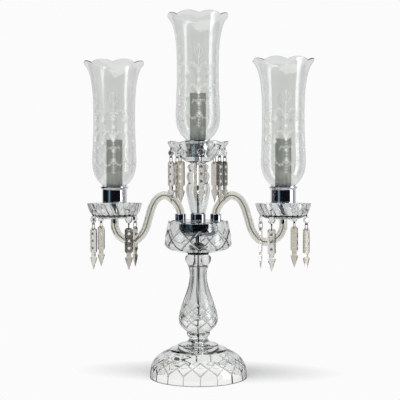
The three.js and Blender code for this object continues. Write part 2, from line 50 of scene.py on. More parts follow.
def curveThrough(points, perSpan):  # a smooth line through the given points
    given = np.array(points, float)
    padded = np.vstack([2 * given[0] - given[1], given, 2 * given[-1] - given[-2]])
    out = []
    for i in range(1, len(padded) - 2):
        p0, p1, p2, p3 = padded[i - 1 : i + 3]
        square, cube = 2 * p0 - 5 * p1 + 4 * p2 - p3, 3 * p1 - p0 - 3 * p2 + p3
        for step in range(perSpan):
            t = step / perSpan
            out.append(0.5 * (2 * p1 + (p2 - p0) * t + square * t**2 + cube * t**3))
    out.append(given[-1])
    return np.array(out)


def spacedLine(points, step):  # a polyline cut into spans no longer than step
    given = np.array(points, float)
    out = []
    for a, b in zip(given[:-1], given[1:]):
        count = max(1, math.ceil(np.linalg.norm(b - a) / step))
        out += [a + (b - a) * k / count for k in range(count)]
    out.append(given[-1])
    return np.array(out)


def makeObject(name, vertices, faces, material, sharpAngle=30.0):
    mesh = bpy.data.meshes.new(name)
    mesh.from_pydata((np.asarray(vertices, float) * mm).tolist(), [], faces)
    mesh.materials.append(material)
    mesh.shade_smooth()
    mesh.set_sharp_from_angle(angle=math.radians(sharpAngle))
    mesh.update()
    made = bpy.data.objects.new(name, mesh)
    bpy.context.scene.collection.objects.link(made)
    return made


def spinObject(name, loop, columns, material, centre=0.0, shape=None, sharpAngle=30.0, turn=0.0):
    loop = np.array(loop, float)  # closed outline of radius and height, outside going up, inside coming down
    azimuth = np.radians(turn) + np.arange(columns) * 2 * np.pi / columns
    r = np.repeat(loop[:, :1], columns, 1)
    z = np.repeat(loop[:, 1:], columns, 1)
    a = np.repeat(azimuth[None, :], len(loop), 0)
    ring = np.repeat(np.arange(len(loop))[:, None], columns, 1)
    cutShade = None
    if shape:
        r, z, *cutShade = shape(r, z, a, ring)
    xyz = np.stack([centre + r * np.sin(a), -r * np.cos(a), z], -1).reshape(-1, 3)
    faces = []
    for i in range(len(loop)):
        up = (i + 1) % len(loop)
        for j in range(columns):
            k = (j + 1) % columns
            faces.append((i * columns + j, i * columns + k, up * columns + k, up * columns + j))
    made = makeObject(name, xyz, faces, material, sharpAngle)
    if cutShade:  # painted shade: how dark each point is drawn in the cut lines
        made.data.attributes.new("paintedCutShade", "FLOAT", "POINT").data.foreach_set("value", cutShade[0].ravel())
    return made


def newTree(name, sockets):  # a Geometry Nodes tree with named inputs
    tree = bpy.data.node_groups.new(name, "GeometryNodeTree")
    tree.interface.new_socket("Geometry", in_out="INPUT", socket_type="NodeSocketGeometry")
    tree.interface.new_socket("Geometry", in_out="OUTPUT", socket_type="NodeSocketGeometry")
    for label, kind in sockets.items():
        tree.interface.new_socket(label, in_out="INPUT", socket_type=f"NodeSocket{kind}")
    tree.interface.new_socket("Material", in_out="INPUT", socket_type="NodeSocketMaterial")
    return tree, tree.nodes.new("NodeGroupInput").outputs


def endTree(tree, given, geometry):
    real = addNode(tree, "GeometryNodeRealizeInstances", {0: geometry})
    painted = addNode(tree, "GeometryNodeSetMaterial", {"Geometry": real, "Material": given["Material"]})
    addNode(tree, "NodeGroupOutput", {0: painted})


# Runs a tree on vertices and edges, and keeps the plain mesh.
def grow(name, seed, tree, values, sharpAngle=30.0):
    vertices, edges = seed
    mesh = bpy.data.meshes.new(name)
    mesh.from_pydata((np.asarray(vertices, float) * mm).tolist(), edges, [])
    made = bpy.data.objects.new(name, mesh)
    bpy.context.scene.collection.objects.link(made)
    modifier = made.modifiers.new("shape", "NODES")
    modifier.node_group = tree
    for item in tree.interface.items_tree:
        if item.in_out == "INPUT" and item.name in values:
            modifier[item.identifier] = values[item.name]
    bpy.context.view_layer.update()
    grown = bpy.data.meshes.new_from_object(made.evaluated_get(bpy.context.evaluated_depsgraph_get()))
    made.modifiers.remove(modifier)
    made.data = grown
    bpy.data.meshes.remove(mesh)
    grown.name = name
    grown.shade_smooth()
    grown.set_sharp_from_angle(angle=math.radians(sharpAngle))
    return made


def polylines(*paths):  # one or more paths as vertices and edges; a path given as (points, True) is closed
    vertices, edges = [], []
    for path in paths:
        points, closed = path if isinstance(path, tuple) else (path, False)
        start, count = len(vertices), len(points)
        vertices += [list(p) for p in points]
        edges += [(start + k, start + (k + 1) % count) for k in range(count if closed else count - 1)]
    return vertices, edges


def cutHoles(target, drills):  # bores through a piece, cut exactly and applied
    for drill in drills:
        cut = target.modifiers.new("bore", "BOOLEAN")
        cut.object = drill
        cut.operation = "DIFFERENCE"
        cut.solver = "EXACT"
    bpy.context.view_layer.update()
    evaluated = target.evaluated_get(bpy.context.evaluated_depsgraph_get())
    mesh = bpy.data.meshes.new_from_object(evaluated)
    target.modifiers.clear()
    old = target.data
    target.data = mesh
    bpy.data.meshes.remove(old)
    for drill in drills:
        bpy.data.objects.remove(drill)
    mesh.shade_smooth()
    mesh.set_sharp_from_angle(angle=math.radians(30))
    return target


def place(piece, body, slot, *nodes):
    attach(piece, body)
    if nodes:
        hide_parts(*nodes)
    return piece


def linear(colour):  # an sRGB hex value as the linear colour that the nodes work in
    channels = [int(colour[i : i + 2], 16) / 255 for i in (1, 3, 5)]
    return [c / 12.92 if c <= 0.04045 else ((c + 0.055) / 1.055) ** 2.4 for c in channels] + [1.0]


def feed(tree, node, inputs):  # each input gets a setting, a socket, or a node, whose first output is meant
    for key, value in inputs.items():
        source = value.outputs[0] if isinstance(value, bpy.types.Node) else value
        if isinstance(source, bpy.types.NodeSocket):
            tree.links.new(source, node.inputs[key])
        else:
            node.inputs[key].default_value = source


def addNode(tree, kind, inputs=None, stops=(), **settings):
    node = tree.nodes.new(kind)
    for index, (position, colour) in enumerate(stops):  # a colour ramp's stops
        if index >= len(node.color_ramp.elements):
            node.color_ramp.elements.new(position)
        node.color_ramp.elements[index].position = position
        node.color_ramp.elements[index].color = linear(colour)
    for key, value in settings.items():
        setattr(node, key, value)
    feed(tree, node, inputs or {})
    return node


def sweep(tree, given, route, radius):  # a round section along a route, closed at its ends
    size = {"Resolution": given["Sides"], "Radius": given[radius]}
    section = addNode(tree, "GeometryNodeCurvePrimitiveCircle", size)
    return addNode(tree, "GeometryNodeCurveToMesh", {0: route, 1: section, "Fill Caps": True})


# A round wire, lead or rod along each of its paths.
wireTree, given = newTree("roundAlongPath", {"Radius": "Float", "Sides": "Int"})
route = addNode(wireTree, "GeometryNodeMeshToCurve", {0: given["Geometry"]})
endTree(wireTree, given, sweep(wireTree, given, route, "Radius"))

# A thick glass tube along a path, with a bore whose ends stop inside it.
tubeTree, given = newTree("boredTubeAlongPath", {"Radius": "Float", "Bore": "Float", "Sides": "Int"})
route = addNode(tubeTree, "GeometryNodeMeshToCurve", {0: given["Geometry"]})
inside = addNode(
    tubeTree, "GeometryNodeTrimCurve", {"Curve": route, "Start": 0.001, "End": 0.999}, mode="FACTOR"
)
bore = addNode(tubeTree, "GeometryNodeFlipFaces", {0: sweep(tubeTree, given, inside, "Bore")})
both = addNode(tubeTree, "GeometryNodeJoinGeometry", {0: sweep(tubeTree, given, route, "Radius")})
feed(tubeTree, both, {0: bore})
endTree(tubeTree, given, both)


def newMaterial(name, values):
    material = bpy.data.materials.new(name)
    material.use_nodes = True
    tree = material.node_tree
    shader = tree.nodes["Principled BSDF"]
    feed(tree, shader, values)
    return material, tree, shader, addNode(tree, "ShaderNodeTexCoord").outputs["Object"]


def mottled(tree, where, scale, detail, dark, light):  # two tones in patches of noise
    patches = addNode(tree, "ShaderNodeTexNoise", {"Vector": where, "Scale": scale, "Detail": detail})
    tones = {0: patches, 6: linear(dark), 7: linear(light)}
    return addNode(tree, "ShaderNodeMix", tones, data_type="RGBA").outputs[2]


def rippled(tree, where, scale, detail, strength, distance=0.001):  # the normal of a faintly uneven skin
    waves = addNode(tree, "ShaderNodeTexNoise", {"Vector": where, "Scale": scale, "Detail": detail})
    return addNode(tree, "ShaderNodeBump", {"Height": waves, "Strength": strength, "Distance": distance})


clearGlass = {"Transmission Weight": 1.0, "IOR": 1.5, "Roughness": 0.0}

# Hand-cut lead crystal: bright and faintly wavy from fire polishing, with every ground cut drawn as a thin
# dark line: painted shade for the dark that the cuts refract.
cutCrystal, tree, shader, where = newMaterial("cutLeadCrystal", clearGlass)
cutShade = addNode(tree, "ShaderNodeAttribute", attribute_name="paintedCutShade").outputs["Fac"]
tones = {0: cutShade, 6: linear("#f9faf8"), 7: linear("#7a7e7b")}
line = addNode(tree, "ShaderNodeMix", tones, data_type="RGBA", clamp_factor=True)
skin = rippled(tree, where, 55.0, 2.0, 0.03)  # 18 mm waves
feed(tree, shader, {"Base Color": line.outputs[2], "Normal": skin})

# Drawn glass tube, bent hot: faintly wavy, with a warm grey body colour.
drawnTube, tree, shader, where = newMaterial(
    "drawnGlassTube", {**clearGlass, "Base Color": linear("#f4f3ed")}
)
feed(tree, shader, {"Normal": rippled(tree, where, 90.0, 2.0, 0.08)})  # 11 mm waves

# Mould-pressed crystal of the drops, in three tints: nearly clear, straw and smoke. The barred part is tinted
# apart from the spearhead. The smoke drops are darker, and far darker on the bar: painted shade for the dark
# that those prisms refract.
pressedCrystal = {}
for toneName, headTone, barTone in (
    ("clear", "#f6f4ee", "#f4f2ec"), ("straw", "#dcd6c8", "#e0d9cb"), ("smokeShaded", "#cfcbc0", "#827e78"),
):
    made = newMaterial(f"pressedCrystal_{toneName}", {**clearGlass, "IOR": 1.52})
    pressedCrystal[toneName], tree, shader, where = made
    bar = addNode(tree, "ShaderNodeAttribute", attribute_name="bar").outputs["Fac"]
    tones = {0: bar, 6: linear(headTone), 7: linear(barTone)}
    tint = addNode(tree, "ShaderNodeMix", tones, data_type="RGBA")
    skin = rippled(tree, where, 160.0, 3.0, 0.04)  # 6 mm waves
    feed(tree, shader, {"Base Color": tint.outputs[2], "Normal": skin})

# The wheel-ground spots of the straw and smoky drops, left matt: white, and lit through from behind.
groundSpot, tree, shader, where = newMaterial("wheelGroundSpot", {"Roughness": 0.7})
matt = mottled(tree, where, 1800.0, 2.0, "#e6e3db", "#fdfdfa")  # 0.5 mm grit
feed(tree, shader, {"Base Color": matt})
through = addNode(tree, "ShaderNodeBsdfTranslucent", {"Color": matt})
inside = addNode(tree, "ShaderNodeNewGeometry").outputs["Backfacing"]
lit = addNode(tree, "ShaderNodeMixShader", {0: inside, 1: shader, 2: through})
feed(tree, tree.nodes["Material Output"], {"Surface": lit})

# The polished spots of the clear drops: deep little lenses that turn the light aside; their near-black colour
# is painted shade for that.
shadedPolishedSpot, tree, shader, where = newMaterial(
    "shadedPolishedSpot", {"Transmission Weight": 1.0, "Roughness": 0.0}
)
feed(tree, shader, {"Base Color": mottled(tree, where, 900.0, 1.0, "#2b2a28", "#585652")})

# Blown soda glass of the shades: thin, with the glassblower's long waves. Its colour follows the angle it is
# seen at, a soft grey face between clear sides and greyer grazing edges: painted shade.
shadedBlownGlass, tree, shader, where = newMaterial("shadedBlownGlass", clearGlass)
rim = addNode(tree, "ShaderNodeLayerWeight", {"Blend": 0.35}).outputs["Facing"]
tint = addNode(tree, "ShaderNodeValToRGB", {"Fac": rim}, stops=[
    (0.0, "#f8f9f6"), (0.08, "#fafbf8"), (0.3, "#fefefe"), (0.75, "#fafaf8"), (1.0, "#c4c8c1"),
])
stretched = addNode(tree, "ShaderNodeMapping", {"Vector": where, "Scale": (1.0, 1.0, 0.25)})
feed(tree, shader, {"Base Color": tint, "Normal": rippled(tree, stretched, 30.0, 1.0, 0.1, 0.002)})

# Acid-etched ornament: the skin of the glass bitten to a fine white frost that glows when lit from behind,
# with a faint painted glow of its own besides.
etchedFrostPaintedGlow, tree, shader, where = newMaterial("acidEtchedFrost", {
    "Base Color": linear("#fbfcfa"), "Roughness": 0.85, "Emission Color": linear("#f6f8f5"),
    "Emission Strength": 0.3,
})
grain = addNode(tree, "ShaderNodeTexNoise", {"Vector": where, "Scale": 1500.0, "Detail": 1.0})
cover = addNode(tree, "ShaderNodeMapRange", {"Value": grain, "To Min": 0.65, "To Max": 1.0})
clear = addNode(tree, "ShaderNodeBsdfTransparent")
glow = addNode(tree, "ShaderNodeBsdfTranslucent", {"Color": linear("#f6f8f5")})
bitten = addNode(tree, "ShaderNodeMixShader", {0: 0.4, 1: shader, 2: glow})
frost = addNode(tree, "ShaderNodeMixShader", {0: cover, 1: clear, 2: bitten})
feed(tree, tree.nodes["Material Output"], {"Surface": frost})

# Bright chromium plate on spun brass: nearly a mirror, with faint rings from the spinning.
plate = {"Metallic": 1.0, "Base Color": linear("#d9dce2")}
chromePlate, tree, shader, where = newMaterial("chromiumPlate", plate)
smear = addNode(tree, "ShaderNodeTexNoise", {"Vector": where, "Scale": 120.0, "Detail": 3.0})
polish = addNode(tree, "ShaderNodeMapRange", {"Value": smear, "To Min": 0.03, "To Max": 0.09})
rings = {"Vector": where, "Scale": 500.0, "Distortion": 0.4}
spun = addNode(tree, "ShaderNodeTexWave", rings, bands_direction="Z").outputs["Fac"]
bump = addNode(tree, "ShaderNodeBump", {"Height": spun, "Strength": 0.02, "Distance": 0.0002})
feed(tree, shader, {"Roughness": polish, "Normal": bump})

# The same plate on the hub drum and the nut, given a mottled darker grey: painted shade for the dark they
# mirror inside the bowl.
shadedPlate, tree, shader, where = newMaterial("shadedChromiumPlate", {"Metallic": 1.0, "Roughness": 0.1})
feed(tree, shader, {"Base Color": mottled(tree, where, 60.0, 4.0, "#77797f", "#a5a8af")})

# Candle sleeves: satin-finished opal tube with soft streaks down it, its white painted grey-green: painted
# shade for the shade glass over it and the weak light in front.
shadedOpalTube, tree, shader, where = newMaterial("satinOpalTube", {"Roughness": 0.38, "Coat Weight": 0.25})
stretched = addNode(tree, "ShaderNodeMapping", {"Vector": where, "Scale": (1.0, 1.0, 0.06)})
streak = addNode(tree, "ShaderNodeTexNoise", {"Vector": stretched, "Scale": 190.0, "Detail": 4.0})
tones = {0: streak, 6: linear("#b2b7b0"), 7: linear("#e2e5dd")}
tint = addNode(tree, "ShaderNodeMix", tones, data_type="RGBA")
bump = addNode(tree, "ShaderNodeBump", {"Height": streak, "Strength": 0.08, "Distance": 0.0004})
feed(tree, shader, {"Base Color": tint.outputs[2], "Normal": bump})

# Moulded phenolic of the lampholders.
phenolic, tree, shader, where = newMaterial("mouldedPhenolic", {"Roughness": 0.35})
feed(tree, shader, {"Base Color": mottled(tree, where, 260.0, 4.0, "#15120f", "#2c241d")})

# Black PVC of the lead and the rubber washer and bush: slightly matt, with a fine drag texture.
blackPvc, tree, shader, where = newMaterial("blackPvc", {"Roughness": 0.5})
feed(tree, shader, {"Base Color": mottled(tree, where, 700.0, 2.0, "#121110", "#262320")})

# Clear PVC over tinned strands, seen as a pale brown-grey line inside the arms.
clearFlex, tree, shader, where = newMaterial("clearPvcFlex", {"Roughness": 0.3})
lay = {"Vector": where, "Scale": 160.0, "Distortion": 2.0}
twist = addNode(tree, "ShaderNodeTexWave", lay, bands_direction="DIAGONAL").outputs["Fac"]
tones = {0: twist, 6: linear("#b3ab9c"), 7: linear("#dcd8cd")}
feed(tree, shader, {"Base Color": addNode(tree, "ShaderNodeMix", tones, data_type="RGBA").outputs[2]})

# Blackened steel wire of the hooks and links.
blackenedWire, tree, shader, where = newMaterial("blackenedSteelWire", {"Roughness": 0.5})
feed(tree, shader, {"Base Color": mottled(tree, where, 900.0, 3.0, "#0c0a08", "#28221a")})
print("finishes made:", len(bpy.data.materials))


# Cutting patterns, as depths in millimetres.
def vGroove(distance, width, depth):  # a mitre cut: deepest on its line, nothing past half its width
    return depth * np.clip(1 - np.abs(distance) / (width / 2), 0, 1)


def nearestLine(phase):  # signed distance to the nearest whole number
    return phase - np.round(phase)


def lattice(a, z, r, count, low, high, rise=1.0, rows=1):  # distance to crossing families of lines in a band
    share = np.clip((z - low) / (high - low), 0, 1) ** rise * rows
    pitch = 2 * np.pi * r / count
    slope = np.cos(np.arctan2(pitch, (high - low) / rows))
    phase = a * count / (2 * np.pi)
    return np.minimum(np.abs(nearestLine(phase - share)), np.abs(nearestLine(phase + share))) * pitch * slope


def within(z, low, high, soft=1.0):  # 1 between two heights, fading over a soft edge
    return np.clip((z - low) / soft, 0, 1) * np.clip((high - z) / soft, 0, 1)


# Foot and stem are one piece of cut crystal.
foot = {
    "petals": 18, "petalTop": 16.0, "latticeTop": 38.0, "rise": 1.25, "cutWidth": 2.6, "cutDepth": 1.4,
    "turn": 9.0,
}
collar = {"facets": 10, "band": (76.5, 84.5), "soft": 2.5, "depth": 1.1}
stem = {
    "diamonds": 8, "belly": (95.0, 137.0), "flutes": 8, "fluted": (138.0, 212.0), "fluteDepth": 1.3,
    "fluteShare": 0.82, "mitreWidth": 2.4, "edgeWidth": 2.0, "lineDepth": 1.0,
}
footLine = curveThrough(
    [(89.4, 0), (90, 0.8), (89, 12), (87, 22), (81.4, 32), (73.6, 40.5), (62.3, 46.8), (54.4, 49.8)], 10
)
stepLine = [(53.2, 50.2), (52.4, 52.6), (50.6, 53.6)]  # the two turned rings on the dome
shoulderLine = curveThrough([(50.6, 53.6), (44, 56.4), (38.4, 58.6)], 6)
upperStep = [(37.4, 59.0), (36.8, 61.0), (35.2, 61.8)]
throatLine = curveThrough(
    [(35.2, 61.8), (28, 63.4), (22.5, 65.6), (18.6, 68.6), (17.2, 71.6), (17.6, 74.4)], 7
)
collarLine = curveThrough([(17.6, 74.4), (19.8, 76.6), (21.6, 79.4), (21.8, 82.4), (21.0, 84.0)], 5)
bellyLine = curveThrough(
    [(21.0, 84.0), (24.3, 87), (30.2, 92.4), (33.9, 97.6), (36.1, 104), (36.3, 109), (35.2, 117), (31.6, 130),
     (27.2, 143), (23.2, 154), (19.2, 166), (16.8, 178), (15.7, 189.6), (16.6, 199), (19.6, 208),
     (22.6, 213.4)], 7
)
knobLine = curveThrough([(22.6, 213.4), (24.2, 218.2), (23.8, 222.4), (21.4, 225.6), (18.5, 227.2)], 6)
hollowLine = curveThrough(
    [(81.8, 0), (80.2, 14), (76.4, 24), (69.6, 32.6), (56, 41.2), (40, 47.4), (22, 51.6), (9, 52.4)], 6
)
boreLine = np.vstack([
    [(6.3, 227.2), (5.5, 226.6)],
    curveThrough(
        [(5.5, 220), (8.6, 213), (9.6, 206), (9.6, 190), (10.8, 178), (13.2, 166), (17, 154), (21, 143),
         (25.4, 130), (28.8, 117), (29.9, 108), (29.3, 103), (27, 97.5), (22.4, 92), (17.4, 86.8), (14, 81.5),
         (11.6, 76), (11, 71), (11.8, 65), (11.4, 58), (9.4, 53.2)], 3
    ),
])
footLoop = np.vstack([
    footLine, stepLine, shoulderLine[1:], upperStep, throatLine[1:], collarLine[1:], bellyLine[1:],
    knobLine[1:], boreLine, hollowLine[::-1],
])
outerRings = len(footLoop) - len(hollowLine) - len(boreLine)


def cutFoot(r, z, a, ring):
    outside = ring < outerRings
    a = a - math.radians(foot["turn"])
    top, width, depth = foot["latticeTop"], foot["cutWidth"], foot["cutDepth"]
    phase = a * foot["petals"] / (2 * np.pi)
    upright = np.abs(nearestLine(phase)) * 2 * np.pi * r / foot["petals"]
    lines = lattice(a, z, r, foot["petals"], foot["petalTop"], top, foot["rise"])
    cut = np.where(z < foot["petalTop"], vGroove(upright, width, depth), 0)
    cut = cut + np.where((z >= foot["petalTop"]) & (z <= top + 1), vGroove(lines, width, depth), 0)
    # the collar's ten facets
    facet = np.abs(nearestLine(a * collar["facets"] / (2 * np.pi))) * 2
    cut = cut + collar["depth"] * facet**2 * within(z, *collar["band"], collar["soft"])
    # the belly's two rows of diamonds
    low, high = stem["belly"]
    diamonds = lattice(a, z, r, stem["diamonds"], low, high, rows=2)
    mitres = vGroove(diamonds, stem["mitreWidth"], stem["lineDepth"]) * within(z, low - 1, high + 1, 1.5)
    cut = cut + mitres
    # the neck's flutes, hollow ground with a narrow fillet between them, and the lines along their edges
    low, high = stem["fluted"]
    across = np.abs(nearestLine(a * stem["flutes"] / (2 * np.pi) + 0.5)) * 2
    hollow = np.sqrt(np.clip(1 - (across / stem["fluteShare"]) ** 2, 0, 1))
    cut = cut + stem["fluteDepth"] * hollow * within(z, low, high, 22.0) ** 0.7
    edge = (across - stem["fluteShare"]) * np.pi * r / stem["flutes"]
    edges = vGroove(edge, stem["edgeWidth"], stem["lineDepth"]) * within(z, low + 2, high - 2, 3.0)
    cutShading = np.where(z < 60, cut / depth, 0) + mitres + edges  # painted shade: above the dome only the lines are drawn dark
    return r - np.where(outside, cut, 0), z, np.where(outside, np.clip(cutShading, 0, 1), 0)


footAndStem = spinObject("foot_and_stem", footLoop, 360, cutCrystal, shape=cutFoot, sharpAngle=24)
place(footAndStem, "frame", "crystal", "base")

# Rubber washer, bowl, and the bell nut that clamps them.
washerLoop = [(5.8, 227.6), (19.0, 227.6), (19.5, 228.1), (19.5, 229.3), (19.0, 229.8), (5.8, 229.8)]
bowlWasher = spinObject("bowl_washer_ring", washerLoop, 64, blackPvc)
place(bowlWasher, "frame", "rubber", "bowl_washer")

bowl = {"diamonds": 10, "band": (237.0, 274.0), "scallop": 3.4, "turn": 9.0, "cutWidth": 3.0, "cutDepth": 1.7}
bowlOuter = curveThrough(
    [(20.3, 230.2), (37, 232.9), (49, 235.6), (56, 239.4), (60, 242.7), (61.6, 246.3), (61.4, 252.8),
     (59.7, 267.1), (57.4, 279), (55.2, 288.6)], 9
)
bowlInner = curveThrough(
    [(51.4, 288.6), (53.6, 279), (55.7, 267), (57.3, 253), (56.6, 246), (52.4, 241.4), (44, 238), (30, 235.5),
     (21, 235.2)], 6
)
bowlRim = [(54.6, 289.6), (53.2, 290), (51.9, 289.6)]
bowlLoop = np.vstack([bowlOuter, bowlRim, bowlInner, [(5.3, 235.2), (5.3, 230.2)]])


def cutBowl(r, z, a, ring):
    a = a - math.radians(bowl["turn"])
    low, high = bowl["band"]
    big = lattice(a, z, r, bowl["diamonds"], low, high)
    banded = within(z, low, high + 1, 1.5) * (ring < len(bowlOuter))
    cut = vGroove(big, bowl["cutWidth"], bowl["cutDepth"]) * banded
    wave = np.abs(np.sin(a * bowl["diamonds"] / 2))  # 0 at a cusp, 1 at the top of a scallop
    lift = np.clip((z - 270) / 20, 0, 1) ** 2 * bowl["scallop"] * (1 - wave**0.7)
    # the cut lines are drawn dark by their depth, as painted shade
    return r - cut, z - lift, cut / bowl["cutDepth"]


cutBowlPiece = spinObject("cut_bowl", bowlLoop, 400, cutCrystal, shape=cutBowl, sharpAngle=24)
place(cutBowlPiece, "frame", "crystal", "bowl")

nutOuter = curveThrough([(17.3, 236.2), (17.2, 237.8), (14.6, 240.2), (11, 243), (8.4, 245.6), (7, 247.6)], 6)
nutLoop = np.vstack([[(16.8, 235.6)], nutOuter, [(6.6, 248), (5.3, 248), (5.3, 235.6)]])
place(spinObject("bell_nut", nutLoop, 72, shadedPlate), "frame", "chrome", "bowl_nut")

# Chrome hub with its three cups, on the spindle tube.
hub = {"reach": 32.7}  # from the axis to the middle of each arm's cup
hubOuter = curveThrough([(14, 261.5), (25, 261.8), (31.4, 262.8), (34.4, 265.0), (35.6, 268.4)], 6)
hubLoop = np.vstack([
    [(5.4, 261.4)], hubOuter, [(35.3, 268.9), (35.3, 269.4), (36.3, 269.9), (36.3, 284.2), (35.7, 284.8)],
    [(5.4, 284.8), (5.4, 282.8), (34.3, 282.8), (34.3, 270.0), (32.8, 266.4), (28, 264.2), (14, 263.4),
     (5.4, 263.4)],
])
hubDrum = spinObject("hub_drum", hubLoop, 120, shadedPlate)
armCupLoop = [(2.6, 284.7), (10.0, 284.7), (10.4, 285.2), (10.4, 301.9), (10.1, 302.4), (8.5, 302.4),
              (8.2, 301.9), (8.2, 286.9), (2.6, 286.9)]
postCupLoop = [(5.9, 284.7), (14.0, 284.7), (14.4, 285.2), (14.4, 302.2), (14.0, 302.7), (13.2, 302.7),
               (13.0, 302.2), (13.0, 286.9), (5.9, 286.9)]
cups = [
    spinObject("hub_cup_left", armCupLoop, 64, chromePlate, centre=-hub["reach"]),
    spinObject("hub_cup_right", armCupLoop, 64, chromePlate, centre=hub["reach"]),
    spinObject("hub_cup_centre", postCupLoop, 80, chromePlate),
]
place(hubDrum, "frame", "chrome", "hub")
for cup in cups:
    place(cup, "frame", "chrome")

spindleLoop = np.vstack([  # it steps down to a thin rod inside the post
    [(3.1, 226.3), (4.6, 226.3), (5.0, 226.7), (5.0, 303.2), (4.6, 303.6), (2.8, 303.8), (2.5, 304.2)],
    [(2.5, 383.0), (2.2, 383.4), (1.6, 383.4), (1.6, 303.0), (3.1, 302.0)],
])
place(spinObject("spindle_tube", spindleLoop, 40, chromePlate), "frame", "chrome", "spindle")

# Glass post between the hub and the centre pan.
postOuter = curveThrough(
    [(12.6, 303), (14.6, 307), (17.4, 318), (19.8, 331), (21.6, 341), (22.4, 348.6), (21.2, 354.4),
     (18.6, 358.4), (18.2, 360.6), (19.8, 365), (21.2, 370.4), (20.6, 375.6), (17.6, 380.6), (16.8, 382.6),
     (18.6, 386), (19.6, 389.4), (17.4, 393), (13.6, 395.4)], 8
)
postInner = postOuter[6:-6][::-1] - [3.6, 0]
postLoop = np.vstack([
    [(8.9, 287.2), (12.2, 287.2), (12.6, 287.6)], spacedLine([(12.6, 289), (12.6, 302.4)], 3), postOuter,
    [(9.6, 395.4)], postInner, spacedLine([(8.9, 304), (8.9, 289)], 5),
])
place(spinObject("glass_post", postLoop, 128, cutCrystal, sharpAngle=40), "frame", "crystal", "post")

# Arms: thick drawn tubes with the flex inside.
arm = {"radius": 7.5, "bore": 4.9, "sides": 40, "reach": 157.0}
armRoute = np.array([
    (32.7, 287.1), (32.7, 303.7), (36.7, 315.6), (46.7, 328.1), (61.2, 336.7), (75.7, 331.1), (85.7, 316.1),
    (92.2, 295.1), (99.7, 272.1), (111.7, 256.6), (124.7, 251.1), (138.0, 254.1), (150.0, 263.1),
    (156.2, 275.7), (157.0, 279.7), (157.0, 291.7),
])


def armPath(side):
    line = curveThrough(armRoute, 7)
    return np.stack([side * line[:, 0], np.zeros(len(line)), line[:, 1]], 1)


for side, name in ((-1, "left"), (1, "right")):
    glassArm = grow(f"glass_arm_{name}", polylines(armPath(side)), tubeTree, {
        "Radius": arm["radius"] * mm, "Bore": arm["bore"] * mm, "Sides": arm["sides"], "Material": drawnTube,
    })
    place(glassArm, "frame", "crystal", f"arm_{name}")

# Lead up the stem and flex through the arms. It enters low in the foot's back and parts at the spindle's
# window.
leadRoute = {
    "radius": 1.2, "exit": -141.0, "low": 14.0, "rim": 87.1, "window": 273.0, "top": 489.0, "sideTop": 404.0,
}
back = outward(leadRoute["exit"])
window = (0, 0, leadRoute["window"])
leadPath = curveThrough(
    [*(back * r + [0, 0, z] for r, z in (
        (leadRoute["rim"], leadRoute["low"]), (79, leadRoute["low"]), (67, 14.5), (46, 20), (22, 30), (6, 36),
    )), [0, 0, 51], [0.6, -0.4, 70], [-0.8, 0.6, 96], [0.9, 0.3, 124], [-0.7, -0.5, 156], [0.4, 0.5, 190],
     [0, 0, 222], window], 8
)
upperLead = spacedLine([(0, 0, leadRoute["window"] - 1), (0, 0, leadRoute["top"])], 12)
mainLead = grow("main_lead", polylines(leadPath, upperLead), wireTree, {
    "Radius": leadRoute["radius"] * mm, "Sides": 16, "Material": blackPvc,
})
place(mainLead, "frame", "rubber", "wiring")
flexPaths = []
for side in (-1, 1):
    turnIn = curveThrough(
        [window, (side * 10, 0, 273), (side * 25.7, 0, 273.5), (side * 31.7, 0, 278),
         (side * hub["reach"], 0, 283), (side * hub["reach"], 0, 288)], 5
    )
    riser = spacedLine([(side * arm["reach"], 0, 291.7), (side * arm["reach"], 0, leadRoute["sideTop"])], 12)
    flexPaths.append(np.vstack([turnIn[:-1], armPath(side)[1:-1], riser]))
armFlex = grow("arm_flex", polylines(*flexPaths), wireTree, {
    "Radius": leadRoute["radius"] * mm, "Sides": 14, "Material": clearFlex,
})
place(armFlex, "frame", "rubber")

bushLoop = [(1.9, -11), (3.7, -11), (3.7, 1.2), (5.2, 1.2), (5.6, 1.6), (5.6, 2.1), (5.0, 2.4), (1.9, 2.4)]
inletBush = spinObject("inlet_bush_ring", bushLoop, 40, blackPvc)
turnOut = Vector((0, 0, 1)).rotation_difference(Vector(back)).to_matrix().to_4x4()
inletAt = Vector((back * 86.9 + [0, 0, leadRoute["low"]]) * mm)
inletBush.data.transform(Matrix.Translation(inletAt) @ turnOut)
place(inletBush, "frame", "rubber", "inlet_bush")
print("foot, stem, bowl, hub, post, arms and leads made")

# Drip pans.
# the last value sets how dark the flutes are drawn, as painted shade
sidePan = {"base": 292.0, "flutes": 26, "fluteDepth": 1.4, "fluteWidth": 5.0, "lean": 0.028, "cutShading": 0.7}
sideOuter = curveThrough(
    [(11.2, 292.0), (26.5, 293.2), (39.3, 298.1), (44.6, 303.4), (47.6, 309), (50.2, 317), (51, 321.6)], 12
)
sideInner = curveThrough(
    [(47.6, 321.6), (46.9, 317), (44.4, 309.6), (41.6, 304.6), (37.4, 300.9), (24, 296.5)], 9
)
sideFloor = [(8.4, 296.4), (4.1, 296.4), (4.1, 292.0)]
sideLoop = np.vstack([sideOuter, [(50.6, 322.2), (48.1, 322.2)], sideInner, sideFloor])
topPan = {
    "base": 395.8, "rim": 436.4, "lobes": 8, "drop": 4.0, "pinch": 2.4, "turn": 13.0, "ribs": 40,
    "ribWidth": 4.0, "ribDepth": 0.5,
}
topOuter = curveThrough(
    [(11.4, 395.8), (22.8, 399.5), (33.1, 407.2), (47.9, 421.8), (55.3, 430.7), (57, 435.8)], 12
)
topInner = curveThrough([(54.0, 435.8), (52.4, 431.4), (45.4, 423.4), (31.2, 409.4), (20, 401.2)], 9)
topFloor = [(8.4, 400.2), (4.1, 400.2), (4.1, 395.8)]
topLoop = np.vstack([topOuter, [(56.6, 436.3), (54.5, 436.3)], topInner, topFloor])
